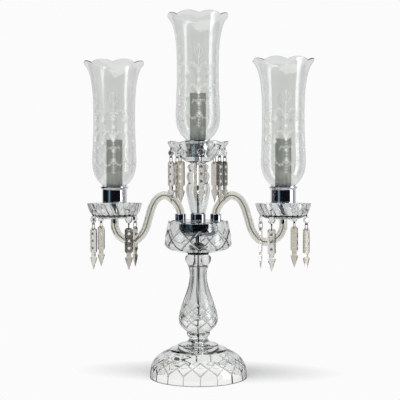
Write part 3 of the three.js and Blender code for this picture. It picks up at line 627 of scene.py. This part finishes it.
# each drop: where it hangs, the way its face looks, and its tint
leftDrops = [(-45, -25, "clear"), (45, 20, "smokeShaded"), (135, 135, "straw"), (-135, -135, "straw")]
rightDrops = [(-25, -10, "clear"), (65, 40, "straw"), (155, 155, "straw"), (-115, -100, "clear")]
topDrops = [(13, 10, "clear"), (58, 50, "smokeShaded"), (103, 55, "smokeShaded"), (148, 148, "straw"),
            (-167, -167, "straw"), (-122, -122, "straw"), (-77, -35, "clear"), (-32, -15, "straw")]
sideHole = {"radius": 46.545, "height": 310.864, "normal": (0.9711, -0.2385), "wall": 3.2, "hang": 18.2}
topHole = {"radius": 49.981, "height": 428.426, "normal": (0.7696, -0.6385), "wall": 3.0, "hang": 13.4}
drill = {"radius": 1.9, "reach": 6}


def cutSidePan(r, z, a, ring):
    outside = (ring < len(sideOuter)) & (ring > 2)
    # the flutes wind round the dish
    leaning = a * sidePan["flutes"] / (2 * np.pi) + (z - sidePan["base"]) * sidePan["lean"]
    across = nearestLine(leaning) * 2 * np.pi * r / sidePan["flutes"]
    climb = np.clip((z - sidePan["base"] - 1.5) / 8, 0, 1)
    cut = np.where(outside, vGroove(across, sidePan["fluteWidth"], sidePan["fluteDepth"]) * climb, 0)
    # the flutes are drawn darker by their depth, as painted shade
    return r - cut, z, (cut / sidePan["fluteDepth"]) ** 3 * sidePan["cutShading"]


def cutTopPan(r, z, a, ring):
    lobe = (a - math.radians(topPan["turn"])) * topPan["lobes"] / 2
    cusp = 1 - np.abs(np.sin(lobe)) ** 0.75
    share = np.clip((z - topPan["base"]) / (topPan["rim"] - topPan["base"]), 0, 1)
    across = nearestLine(a * topPan["ribs"] / (2 * np.pi)) * 2 * np.pi * r / topPan["ribs"]
    ribs = vGroove(across, topPan["ribWidth"], topPan["ribDepth"]) * share * (ring < len(topOuter))
    return r - topPan["pinch"] * share**2 * cusp - ribs, z - topPan["drop"] * share**3 * cusp


def holeDrills(centre, hole, drops):
    size = {"Radius": drill["radius"] * mm, "Sides": 16, "Material": cutCrystal}
    drills = []
    for azimuth, _, _ in drops:
        out = outward(azimuth)
        along = (out * hole["normal"][0] + np.array([0, 0, hole["normal"][1]])) * drill["reach"]
        middle = out * hole["radius"] + [centre, 0, hole["height"]]
        drills.append(grow("drill", polylines([middle - along, middle + along]), wireTree, size))
    return drills


for name, centre, drops in (("left", -arm["reach"], leftDrops), ("right", arm["reach"], rightDrops)):
    pan = spinObject(
        f"cut_pan_{name}", sideLoop, 312, cutCrystal, centre=centre, shape=cutSidePan, sharpAngle=24
    )
    cutHoles(pan, holeDrills(centre, sideHole, drops))
    place(pan, "frame", "crystal", f"pan_{name}")
centrePan = spinObject(
    "lobed_pan_centre", topLoop, 320, cutCrystal, shape=cutTopPan, sharpAngle=24, turn=topPan["turn"]
)
cutHoles(centrePan, holeDrills(0.0, topHole, topDrops))
place(centrePan, "frame", "crystal", "pan_centre")
print("pans cut and drilled")

# Each light: shade cup, lampholder, candle sleeve and shade.
lights = {  # the middle of each light, its pan's base, and how high its cup stands on that
    "left": (-arm["reach"], sidePan["base"], 30.6), "right": (arm["reach"], sidePan["base"], 30.6),
    "centre": (0.0, topPan["base"], 11.6),
}
shade = {"lobes": 8, "lobe": 5.5, "pinch": 1.6, "turn": 9.0, "wall": 1.5}
shadeOuter = curveThrough(
    [(20.8, 0), (20.8, 14), (20.8, 26), (23.0, 30.5), (29.5, 37.2), (35.2, 46), (39.4, 58), (41, 73),
     (40.2, 96), (39.1, 124.8), (38.6, 150), (38.8, 171.6), (39.4, 192), (41.3, 213), (45.2, 234),
     (50.4, 248.5), (56.6, 259.2)], 8
)


def offsetLine(line, distance):  # a line moved to its left
    along = np.gradient(line, axis=0)
    along /= np.linalg.norm(along, axis=1)[:, None]
    return line + distance * np.stack([-along[:, 1], along[:, 0]], 1)


shadeInner = offsetLine(shadeOuter, shade["wall"])
shadeInner[:, 1] = np.clip(shadeInner[:, 1], 0.4, None)
shadeLip = [(56.7, 260.0), (55.6, 260.1)]
shadeLoop = np.vstack([[(20.5, 0)], shadeOuter[1:], shadeLip, shadeInner[::-1][1:-1], [(19.5, 0)]])


def lobeRim(r, z, a, ring):
    share = np.clip((z - 170) / 90, 0, 1)
    cusp = 1 - np.abs(np.sin((a - math.radians(shade["turn"])) * shade["lobes"] / 2)) ** 0.8
    return r - shade["pinch"] * share**2 * cusp, z - shade["lobe"] * share**5 * cusp


# The etched ornament, drawn flat as arc and height: fronds carry leaflets, plain strokes don't.
etching = {"repeats": 6, "girth": 39.5, "line": 0.7, "leaf": 5.4, "spacing": 5.2, "lift": 0.12}
flatFronds = [[(0, 52), (0.8, 90), (-0.8, 130), (0, 178)]]
flatStrokes = []
for side in (-1, 1):
    flatFronds += [
        [(0, 150), (side * 5, 162), (side * 12, 168), (side * 18, 164), (side * 20.6, 154)],
        [(0, 112), (side * 5, 124), (side * 12, 129), (side * 18, 124), (side * 20.6, 113)],
        [(0, 78), (side * 7, 68), (side * 14, 68), (side * 20.6, 79)],
        [(0, 92), (side * 4, 99), (side * 9, 100), (side * 12, 95)],
    ]
    flatStrokes += [[(0, 110), (side * 1.4 * k, 121), (side * 2.6 * k, 133 - k * k)] for k in (1, 2, 3)]
    flatStrokes += [
        [(0, 176), (side * 5, 182), (side * 7, 191), (side * 2, 199), (0, 201)],
        [(0, 178), (side * 2, 188), (0, 200)],
    ]
for heart, reach in (((0, 137), 3.4), ((20.6, 150), 4.2), ((20.6, 109), 3.4)):  # the little open flowers
    for turn in np.radians(np.arange(0, 360, 60)):
        tip = np.array([math.cos(turn), math.sin(turn)]) * reach
        swell = np.array([-math.sin(turn), math.cos(turn)]) * reach * 0.3
        flatStrokes.append(
            [heart, heart + tip * 0.55 + swell, heart + tip, heart + tip * 0.55 - swell, heart]
        )

ornamentTree, given = newTree("etchedOrnament", {
    "Glass": "Object", "Axis": "Vector", "Repeats": "Int", "Girth": "Float", "Line": "Float", "Leaf": "Float",
    "Spacing": "Float", "Lift": "Float", "Turn": "Float",
})
draw = functools.partial(addNode, ornamentTree)
route = draw("GeometryNodeMeshToCurve", {0: given["Geometry"]})
level = draw("GeometryNodeSetCurveNormal", {0: route, "Normal": (0, 1, 0)}, mode="FREE")
nib = draw("ShaderNodeCombineXYZ", {"Y": given["Line"]})
stroke = draw("GeometryNodeCurvePrimitiveLine", {"Start": (0, 0, 0), "End": nib})
stalks = draw("GeometryNodeCurveToMesh", {0: level, 1: stroke})
leaf = draw("GeometryNodeMeshCircle", {"Vertices": 8, "Radius": 0.5}, fill_type="NGON")
leaf = draw("GeometryNodeTransform", {0: leaf, "Translation": (0.5, 0, 0), "Scale": (1, 0.24, 1)})
leaf = draw("GeometryNodeTransform", {0: leaf, "Rotation": (math.pi / 2, 0, 0)})
even = draw("GeometryNodeResampleCurve", {"Curve": route, "Length": given["Spacing"]}, mode="LENGTH")
along = draw("ShaderNodeSeparateXYZ", {0: draw("GeometryNodeInputTangent")})
heading = draw("ShaderNodeMath", {0: along.outputs["Z"], 1: along.outputs["X"]}, operation="ARCTAN2")
onStalk = draw("GeometryNodeSplineParameter").outputs["Factor"]
shrink = draw("ShaderNodeMath", {0: onStalk, 1: -0.55, 2: 1.0}, operation="MULTIPLY_ADD")
leafSize = draw("ShaderNodeMath", {0: shrink, 1: given["Leaf"]}, operation="MULTIPLY")
leafy = draw("FunctionNodeCompare", {0: given["Leaf"], 1: 0.0}, data_type="FLOAT", operation="GREATER_THAN")
flat = draw("GeometryNodeJoinGeometry", {0: stalks})
for splay in (-0.8, 0.8):  # a leaflet on each side of the stalk
    tilt = draw("ShaderNodeMath", {0: heading, 1: -1.0, 2: splay}, operation="MULTIPLY_ADD")
    leaflets = draw("GeometryNodeInstanceOnPoints", {
        "Points": even, "Instance": leaf, "Rotation": draw("ShaderNodeCombineXYZ", {"Y": tilt}),
        "Scale": leafSize, "Selection": leafy,
    })
    feed(ornamentTree, flat, {0: leaflets})
flat = draw("GeometryNodeRealizeInstances", {0: flat})
pitch = draw("ShaderNodeMath", {0: 2 * math.pi, 1: given["Repeats"]}, operation="DIVIDE")
pitch = draw("ShaderNodeMath", {0: pitch, 1: given["Girth"]}, operation="MULTIPLY")
apart = draw("ShaderNodeCombineXYZ", {"X": pitch})
stations = draw("GeometryNodeMeshLine", {"Count": given["Repeats"], "Offset": apart})
band = draw("GeometryNodeInstanceOnPoints", {"Points": stations, "Instance": flat})
band = draw("GeometryNodeRealizeInstances", {0: band})
spot = draw("ShaderNodeSeparateXYZ", {0: draw("GeometryNodeInputPosition")})
angle = draw("ShaderNodeMath", {0: spot.outputs["X"], 1: given["Girth"]}, operation="DIVIDE")
angle = draw("ShaderNodeMath", {0: angle, 1: given["Turn"]}, operation="ADD")
cosine = draw("ShaderNodeMath", {0: angle}, operation="COSINE")
cosine = draw("ShaderNodeMath", {0: cosine, 1: -1.0}, operation="MULTIPLY")
spoke = draw("ShaderNodeCombineXYZ", {"X": draw("ShaderNodeMath", {0: angle}, operation="SINE"), "Y": cosine})
height = draw("ShaderNodeCombineXYZ", {"Z": spot.outputs["Z"]})
height = draw("ShaderNodeVectorMath", {0: height, 1: given["Axis"]}, operation="ADD")
afar = draw("ShaderNodeVectorMath", {0: spoke, 1: (0.2, 0.2, 0.2), 2: height}, operation="MULTIPLY_ADD")
hit = draw("GeometryNodeRaycast", {
    "Target Geometry": draw("GeometryNodeObjectInfo", {"Object": given["Glass"]}).outputs["Geometry"],
    "Source Position": afar, "Ray Length": 0.3,
    "Ray Direction": draw("ShaderNodeVectorMath", {0: spoke, "Scale": -1.0}, operation="SCALE"),
})
skin = draw("ShaderNodeVectorMath", {0: spoke, "Scale": given["Lift"]}, operation="SCALE")
skin = draw("ShaderNodeVectorMath", {0: skin, 1: hit.outputs["Hit Position"]}, operation="ADD")
endTree(ornamentTree, given, draw("GeometryNodeSetPosition", {"Geometry": band, "Position": skin}))


def etch(name, glass, centre, low, paths, leafLength):  # wraps flat strokes round the outside of a shade
    lines = [curveThrough(path, 6) for path in paths]
    upright = [np.stack([line[:, 0], 0 * line[:, 0], line[:, 1]], 1) for line in lines]
    return grow(name, polylines(*upright), ornamentTree, {
        "Glass": glass, "Axis": (centre * mm, 0.0, low * mm), "Repeats": etching["repeats"],
        "Girth": etching["girth"] * mm, "Line": etching["line"] * mm, "Leaf": leafLength * mm,
        "Spacing": etching["spacing"] * mm, "Lift": etching["lift"] * mm, "Turn": math.radians(shade["turn"]),
        "Material": etchedFrostPaintedGlow,
    })


lipLine = curveThrough(
    [(23.0, 345.6), (23.0, 346.2), (23.4, 347.4), (24.9, 349.2), (25.8, 350.8), (26.0, 351.9)], 5
)
sleeveLoop = [
    (13.6, 0), (14.7, 0), (15.0, 0.4), (15.0, 114.6), (14.7, 115.2), (14.3, 115.4), (13.9, 115.2),
    (13.6, 114.6),
]
holderLoop = [
    (2.4, 0), (4.7, 0), (5.0, 0.4), (5.0, 66.6), (7.4, 67.6), (12.2, 68.6), (13.0, 69.6), (13.1, 84.0),
    (12.5, 84.6), (12.5, 86.4), (13.1, 87.0), (13.1, 108.6), (12.6, 109.3), (9.4, 109.3), (8.7, 108.6),
    (8.7, 79.6), (2.4, 79.6),
]


def lifted(loop, height):
    return np.array(loop, float) + [0, height]


for name, (centre, base, rise) in lights.items():
    cupBase = base + rise
    cupLoop = np.vstack([
        [(2.2, base - 7.6), (3.4, base - 8), (3.7, base - 7.6), (3.7, base + 4.7), (6.0, base + 4.8),
         (6.4, base + 5.2), (6.4, cupBase - 0.4), (6.9, cupBase), (22.4, cupBase), (22.8, cupBase + 0.2)],
        spacedLine([(23.0, cupBase + 0.6), (23.0, cupBase + 21.6)], 3),
        lifted(lipLine, cupBase - 322.6),
        [(25.6, cupBase + 30.4), (24.8, cupBase + 30.4), (22.6, cupBase + 26.4), (21.4, cupBase + 24.6),
         (21.3, cupBase + 2.2), (2.2, cupBase + 2.0)],
    ])
    cup = spinObject(f"shade_cup_{name}_spun", cupLoop, 128, chromePlate, centre=centre)
    place(cup, "frame", "chrome", f"shade_cup_{name}")
    low = cupBase + 2.3
    holder = spinObject(f"lampholder_{name}_body", lifted(holderLoop, low), 56, phenolic, centre=centre)
    place(holder, "frame", "bakelite", f"lampholder_{name}")
    sleeve = spinObject(f"candle_sleeve_{name}_tube", lifted(sleeveLoop, low), 72, shadedOpalTube, centre=centre)
    place(sleeve, f"sleeve_{name}", "candle", f"candle_sleeve_{name}")

    def liftedRim(r, z, a, ring, low=low):
        radius, height = lobeRim(r, z - low, a, ring)
        return radius, height + low

    glass = spinObject(f"shade_{name}_glass", lifted(shadeLoop, low), 192, shadedBlownGlass, centre=centre,
                       shape=liftedRim, sharpAngle=50)
    # the side shades' necks are CAD nodes of their own
    necks = [] if name == "centre" else [f"shade_neck_{name}"]
    place(glass, f"shade_{name}", "crystal", f"shade_{name}", *necks)
    fronds = etch(f"shade_{name}_fronds", glass, centre, low, flatFronds, etching["leaf"])
    flowers = etch(f"shade_{name}_flowers", glass, centre, low, flatStrokes, 0.0)
    for ornament in (fronds, flowers):
        place(ornament, f"shade_{name}", "crystal")
print("cups, holders, sleeves and etched shades made")

# Drops: octagon buttons on wire hooks, and spear prisms on links.
button = {"width": 15.0, "table": 8.2, "thickness": 5.4, "girdle": 14.2, "edge": 1.0}
hook = {"bar": (4.0, 1.2, 0.15), "stand": 2.8, "proud": 0.9}
link = {"length": 13.6, "width": 6.6, "wire": 0.55, "tuck": 1.8}
twists = {"radius": 1.25, "apart": 1.0, "above": 0.6, "below": 2.4}
prism = {
    "hole": 4.2, "thickness": 6.0, "length": 77, "barEnd": 45.6, "dots": (10.6, 23.9, 37.2), "dotRadius": 2.6,
    "dotDepth": 1.3,
}
prismEdge = np.array([
    (0, 4.4), (0.7, 5.3), (1.9, 5.5), (2.6, 7.1), (3.4, 7.4), (43.2, 7.4), (44.2, 6.9), (45.6, 5.1),
    (47, 4.3), (52.2, 4.3), (53.2, 5.0), (54.5, 7.6), (55.4, 7.5), (66, 4.1), (76, 0.8), (77, 0.35),
])
prismDepth = np.array([
    (0, 0.42), (2, 0.5), (9, 1.0), (43.5, 1.0), (46, 0.82), (52.2, 0.82), (54.5, 1.0), (66, 0.72), (77, 0.14),
])


# A cut button facing the front: on each side a table with eight facets, and the girdle.
def octagonPart(hang):
    points, faces = [], []
    rings = (
        (22.5, button["table"] / 2, button["thickness"] / 2), (0.0, button["girdle"] / 2, button["edge"] / 2)
    )
    for side in (-1, 1):
        first = len(points)
        for turn, radius, depth in rings:
            for k in range(8):
                angle = math.radians(45 * k + turn)
                points.append((radius * math.sin(angle), side * depth, -hang + radius * math.cos(angle)))
        table = tuple(first + k for k in range(8))
        faces.append(table if side < 0 else table[::-1])
        for k in range(8):
            n = (k + 1) % 8
            star = [(first + k, first + 8 + k, first + 8 + n), (first + k, first + 8 + n, first + n)]
            faces += star if side > 0 else [face[::-1] for face in star]
    for k in range(8):
        n = (k + 1) % 8
        faces.append((8 + k, 24 + k, 24 + n, 8 + n))
    return np.array(points), faces


# A spear prism facing the front, hung at the origin: bevelled bar, waist and spearhead, with three ground
# dots.
def prismPart():
    downs = np.unique(np.concatenate([np.linspace(0, prism["length"], 104), prismEdge[:, 0]]))
    across = np.linspace(-1, 1, 29)
    half = np.interp(downs, prismEdge[:, 0], prismEdge[:, 1])
    deep = np.interp(downs, prismDepth[:, 0], prismDepth[:, 1]) * prism["thickness"] / 2
    bevel = np.interp(np.abs(across), [0, 0.56, 1], [1, 1, 0.3])
    x = half[:, None] * across[None, :]
    front = -deep[:, None] * bevel[None, :]
    rear = -front
    for dot in prism["dots"]:
        away = np.hypot(x, downs[:, None] - dot) / prism["dotRadius"]
        front = front + prism["dotDepth"] * np.sqrt(np.clip(1 - away**2, 0, 1))
    z = np.repeat(prism["hole"] - downs[:, None], len(across), 1)
    rows, columns = x.shape
    points = np.vstack(
        [np.stack([x, front, z], -1).reshape(-1, 3), np.stack([x, rear, z], -1).reshape(-1, 3)]
    )
    faces = []
    back = rows * columns
    for i in range(rows - 1):
        for j in range(columns - 1):
            a = i * columns + j
            b, c, d = a + 1, a + columns + 1, a + columns
            faces.append((a, d, c, b))
            faces.append((back + a, back + b, back + c, back + d))
        for j, flip in ((0, False), (columns - 1, True)):
            a, d = i * columns + j, (i + 1) * columns + j
            side = (a, back + a, back + d, d)
            faces.append(side[::-1] if flip else side)
    for i, flip in ((0, True), (rows - 1, False)):
        for j in range(columns - 1):
            a, b = i * columns + j, i * columns + j + 1
            side = (a, back + a, back + b, b)
            faces.append(side if flip else side[::-1])
    return points, faces


def wirePaths(azimuth, face, hole):  # the hook through the pan, the link down to the prism, and their twists
    normal, out, up = hole["normal"], outward(azimuth), np.array([0, 0, 1.0])
    top = -hole["hang"] + button["width"] / 2

    def inPlane(across, height):
        return out * across + up * height

    head = inPlane(-normal[0] * hook["stand"], -normal[1] * hook["stand"])
    along = np.cross(out, up)
    clear = hole["wall"] / 2 + hook["proud"]
    hookLine = curveThrough(
        [*(head + along * x for x in hook["bar"]), inPlane(0, 0),
         inPlane(normal[0] * clear, normal[1] * clear), inPlane(1.0, top + 3.2), inPlane(0.2, top + 1.0),
         inPlane(0, top - 1.6)], 5
    )
    facing = outward(face)
    low, tall = top - button["width"] + link["tuck"], link["length"] / 2
    t = np.linspace(0, 2 * np.pi, 28, endpoint=False)
    wide = np.sign(np.cos(t)) * np.abs(np.cos(t)) ** 0.5 * link["width"] / 2
    high = low - tall + np.sign(np.sin(t)) * np.abs(np.sin(t)) ** 0.5 * tall
    paths = [(hookLine, False), (wide[:, None] * facing + high[:, None] * up, True)]
    ring = np.linspace(0, 2 * np.pi, 14, endpoint=False)[:, None]
    circle = (np.cos(ring) * np.cross(facing, up) + np.sin(ring) * facing) * twists["radius"]
    for height in (top + twists["above"], low - twists["below"]):
        paths += [(circle + up * (height + side * twists["apart"] / 2), True) for side in (-1, 1)]
    at = out * hole["radius"] + [0, 0, hole["height"]]
    return [(points + at, closed) for points, closed in paths]


prismPattern = makeObject("prism_pattern", *prismPart(), pressedCrystal["clear"], sharpAngle=22)
eyeShank = {"Radius": 1.6 * mm, "Sides": 20, "Material": pressedCrystal["clear"]}
cutHoles(prismPattern, [grow("drill", polylines([(0, -8, 0), (0, 8, 0)]), wireTree, eyeShank)])
prismPattern.data.materials.append(groundSpot)
for face in prismPattern.data.polygons:
    middle = face.center / mm
    spots = [math.hypot(middle.x, prism["hole"] - dot - middle.z) for dot in prism["dots"]]
    if min(spots) < prism["dotRadius"] and face.normal.y < 0 and middle.y < 0:
        face.material_index = 1
barShare = [
    float(prism["hole"] - vertex.co.z / mm < prism["barEnd"]) for vertex in prismPattern.data.vertices
]
prismPattern.data.attributes.new("bar", "FLOAT", "POINT").data.foreach_set("value", barShare)
for name, hole in (("side", sideHole), ("top", topHole)):
    hole["button"] = makeObject(
        f"button_pattern_{name}", *octagonPart(hole["hang"]), cutCrystal, sharpAngle=8
    )
linkDrop = button["width"] / 2 - link["tuck"] + link["length"]


def placedCopy(name, pattern, centre, azimuth, face, hole, lower):  # a pattern turned and hung at its hole
    at = Vector((outward(azimuth) * hole["radius"] + [centre, 0, hole["height"] - lower]) * mm)
    mesh = pattern.data.copy()
    mesh.transform(Matrix.Translation(at) @ Matrix.Rotation(math.radians(face), 4, "Z"))
    made = bpy.data.objects.new(name, mesh)
    bpy.context.scene.collection.objects.link(made)
    return made


for side, drops, hole in (
    ("left", leftDrops, sideHole), ("right", rightDrops, sideHole), ("centre", topDrops, topHole)
):
    centre = lights[side][0]
    for number, (azimuth, face, tint) in enumerate(drops, 1):
        label = f"{side}_{number}"
        octagon = placedCopy(f"button_{label}_octagon", hole["button"], centre, azimuth, face, hole, 0)
        place(octagon, f"button_{label}", "crystal", f"drop_button_{label}")
        vertices, edges = polylines(*wirePaths(azimuth, face, hole))
        wire = grow(f"button_{label}_wire", (np.array(vertices) + [centre, 0, 0], edges), wireTree, {
            "Radius": link["wire"] * mm, "Sides": 8, "Material": blackenedWire,
        })
        place(wire, f"button_{label}", "chrome")
        spear = placedCopy(
            f"prism_{label}_spear", prismPattern, centre, azimuth, face, hole, hole["hang"] + linkDrop
        )
        spear.data.materials[0] = pressedCrystal[tint]
        spear.data.materials[1] = shadedPolishedSpot if tint == "clear" else groundSpot
        place(spear, f"prism_{label}", "crystal", f"drop_prism_{label}")
for pattern in (prismPattern, sideHole["button"], topHole["button"]):
    bpy.data.objects.remove(pattern)
print("drops hung")

# Floor, light and camera.
studio = {
    "white": 0.965, "cameraAzimuth": 6.5, "distance": 1757.0, "height": 368.0, "lookAt": 328.0, "aside": 3.6,
    "lens": 85.5, "roll": -0.1,
}
# White paper: matt, with a grey base that deepens the painted shadow beside the foot, and as white as the
# background where the camera sees it away from the foot.
paperSweep, tree, shader, where = newMaterial("paperSweep", {
    "Base Color": (0.78, 0.78, 0.78, 1.0), "Roughness": 1.0, "Specular IOR Level": 0.0,
})
paperNode = functools.partial(addNode, tree)
path = paperNode("ShaderNodeLightPath")
# painted shadow: beside the foot, in a low band a little behind its middle, the white glow gives way to the
# paper's own shading
shadowPool = paperNode(
    "ShaderNodeMapping", {"Vector": where, "Scale": (1.0, 2.3, 1.0), "Location": (-0.012, -0.12, 0.0)}
)
shadowPool = paperNode("ShaderNodeVectorMath", {0: shadowPool}, operation="LENGTH").outputs["Value"]
near = paperNode("ShaderNodeMapRange", {"Value": shadowPool, "From Min": 0.09, "From Max": 0.26})
glow = paperNode("ShaderNodeMath", {0: path.outputs["Is Camera Ray"], 1: near}, operation="MULTIPLY")
straight = paperNode("ShaderNodeMath", {0: path.outputs["Glossy Depth"], 1: 0.5}, operation="LESS_THAN")
straight = paperNode(
    "ShaderNodeMath", {0: straight, 1: path.outputs["Is Transmission Ray"]}, operation="MULTIPLY"
)
glow = paperNode("ShaderNodeMath", {0: glow, 1: straight}, operation="MAXIMUM")
paper = paperNode("ShaderNodeEmission", {"Color": (1, 1, 1, 1), "Strength": studio["white"]})
mixed = paperNode("ShaderNodeMixShader", {"Fac": glow, 1: shader, 2: paper})
# painted shade: polished metal sees the paper near the foot darker
distance = paperNode("ShaderNodeVectorMath", {0: where}, operation="LENGTH").outputs["Value"]
far = paperNode("ShaderNodeMapRange", {"Value": distance, "From Min": 0.1, "From Max": 0.6, "To Min": 0.12})
mirrorPaperShade = paperNode("ShaderNodeEmission", {"Color": (1, 1, 1, 1), "Strength": far})
unbent = paperNode("ShaderNodeMath", {0: path.outputs["Transmission Depth"], 1: 0.5}, operation="LESS_THAN")
bounced = paperNode("ShaderNodeMath", {0: unbent, 1: path.outputs["Is Glossy Ray"]}, operation="MULTIPLY")
mixed = paperNode("ShaderNodeMixShader", {"Fac": bounced, 1: mixed, 2: mirrorPaperShade})
feed(tree, tree.nodes["Material Output"], {"Surface": mixed})
# past its edge the world is as white
bpy.ops.mesh.primitive_circle_add(vertices=96, radius=0.7, fill_type="NGON")
floor = bpy.context.object
floor.name = "paper_floor"
floor.data.materials.append(paperSweep)

tent = bpy.data.worlds.new("photo_tent")
bpy.context.scene.world = tent
tent.use_nodes = True
tent.node_tree.nodes.clear()
tentNode = functools.partial(addNode, tent.node_tree)
parts = tentNode("ShaderNodeSeparateXYZ", {"Vector": tentNode("ShaderNodeTexCoord").outputs["Generated"]})
lift = tentNode("ShaderNodeMapRange", {"Value": parts.outputs["Z"], "From Min": 0.55, "From Max": 0.85})


def roundTheTent(towardsBack):  # the way a ray goes, as a share of a ramp round the tent
    towardsFront = tentNode("ShaderNodeMath", {0: towardsBack, 1: -1.0}, operation="MULTIPLY")
    angle = tentNode("ShaderNodeMath", {0: parts.outputs["X"], 1: towardsFront}, operation="ARCTAN2")
    return tentNode("ShaderNodeMapRange", {"Value": angle, "From Min": -math.pi, "From Max": math.pi})


def atAzimuth(degrees):  # where an azimuth of the tent falls on the ramp
    return ((degrees + studio["cameraAzimuth"] + 180) % 360) / 360


# Tones by azimuth, which end in white paper behind and go over into a grey ceiling.
def panorama(share, tones):
    stops = [(0.0, "#dfe0e2"), *((atAzimuth(degrees), tone) for degrees, tone in tones), (1.0, "#dfe0e2")]
    ramp = tentNode("ShaderNodeValToRGB", {"Fac": share}, stops=sorted(stops))
    walls = {0: lift, 6: ramp, 7: linear("#cfd2d4")}
    return tentNode("ShaderNodeMix", walls, data_type="RGBA").outputs[2]


# What polished metal and the skin of the glass mirror: white paper behind, a dark room in front, two windows.
turn = roundTheTent(parts.outputs["Y"])
mirrored = panorama(turn, (
    (-138, "#e4e2e4"), (-128, "#1a1a1e"), (-66, "#101216"), (-55, "#2c3f4a"), (-45, "#8fadbb"),
    (-36, "#3c5462"), (-30, "#14161f"), (0, "#0d0e16"), (60, "#14141a"), (64, "#f4f4f5"), (82, "#f4f4f5"),
    (88, "#a8a8ac"), (112, "#9b9b9f"), (126, "#d8d8da"),
))
# What is seen through the glass: white paper whichever way one looks, with a dark panel on each side that
# draws the edges. The front half repeats the back half, so the lamp looks the same from behind.
folded = roundTheTent(tentNode("ShaderNodeMath", {0: parts.outputs["Y"]}, operation="ABSOLUTE"))
through = panorama(folded, (
    (-138, "#e4e2e4"), (-128, "#1a1a1e"), (-112, "#1a1a1e"), (-103, "#dfe0e2"), (86, "#dfe0e2"),
    (96, "#a8a8ac"), (112, "#9b9b9f"), (126, "#d8d8da"),
))
path = tentNode("ShaderNodeLightPath")
bent = path.outputs["Is Transmission Ray"]
mirroredOnce = tentNode("ShaderNodeMath", {0: path.outputs["Glossy Depth"], 1: 1.0}, operation="MINIMUM")
mirroredOnce = tentNode("ShaderNodeMath", {0: mirroredOnce, 1: bent}, operation="MULTIPLY")
# a ray bent through glass counts as glossy too, so only those that don't cross a skin are plain reflections
plainMirror = tentNode("ShaderNodeMath", {0: path.outputs["Is Glossy Ray"], 1: bent}, operation="SUBTRACT")
seenInMirror = tentNode("ShaderNodeMath", {0: plainMirror, 1: mirroredOnce}, operation="MAXIMUM")
# the right-hand window is far brighter than the paper
blaze = tentNode("ShaderNodeValToRGB", {"Fac": turn}, stops=[
    (0.0, "#000000"), (atAzimuth(60), "#000000"), (atAzimuth(67), "#ffffff"), (atAzimuth(76), "#ffffff"),
    (atAzimuth(98), "#000000"),
])
blaze = tentNode("ShaderNodeMath", {0: blaze, 1: 3.6, 2: 1.0}, operation="MULTIPLY_ADD")
shown = tentNode("ShaderNodeBackground", {"Color": linear("#f2f3f4"), "Strength": 0.9})
for share, colour, strength in (
    (bent, through, 1.0), (seenInMirror, mirrored, blaze),
    (path.outputs["Is Camera Ray"], (1, 1, 1, 1), studio["white"]),
):
    backdrop = tentNode("ShaderNodeBackground", {"Color": colour, "Strength": strength})
    shown = tentNode("ShaderNodeMixShader", {"Fac": share, 1: shown, 2: backdrop})
tentNode("ShaderNodeOutputWorld", {"Surface": shown})

softbox = bpy.data.lights.new("top_softbox", "AREA")
softbox.shape = "RECTANGLE"
softbox.size = 1.6
softbox.size_y = 1.2
softbox.energy = 9.0
lamp = bpy.data.objects.new("top_softbox", softbox)
bpy.context.scene.collection.objects.link(lamp)
lamp.location = (-0.35, -0.5, 1.9)
lamp.rotation_euler = (Vector((0, 0, 0.3)) - lamp.location).to_track_quat("-Z", "Y").to_euler()

cameraData = bpy.data.cameras.new("camera")
cameraData.lens = studio["lens"]
cameraData.sensor_width = 36.0
camera = bpy.data.objects.new("camera", cameraData)
bpy.context.scene.collection.objects.link(camera)
eye = Vector((outward(studio["cameraAzimuth"]) * studio["distance"] + [0, 0, studio["height"]]) * mm)
target = Vector((outward(studio["cameraAzimuth"] + 90) * studio["aside"] + [0, 0, studio["lookAt"]]) * mm)
aim = (target - eye).to_track_quat("-Z", "Y").to_matrix().to_4x4()
camera.matrix_world = Matrix.Translation(eye) @ aim @ Matrix.Rotation(math.radians(studio["roll"]), 4, "Z")
bpy.context.scene.camera = camera
bpy.context.scene.view_settings.view_transform = "Standard"
bpy.context.view_layer.update()
print("scene ready")
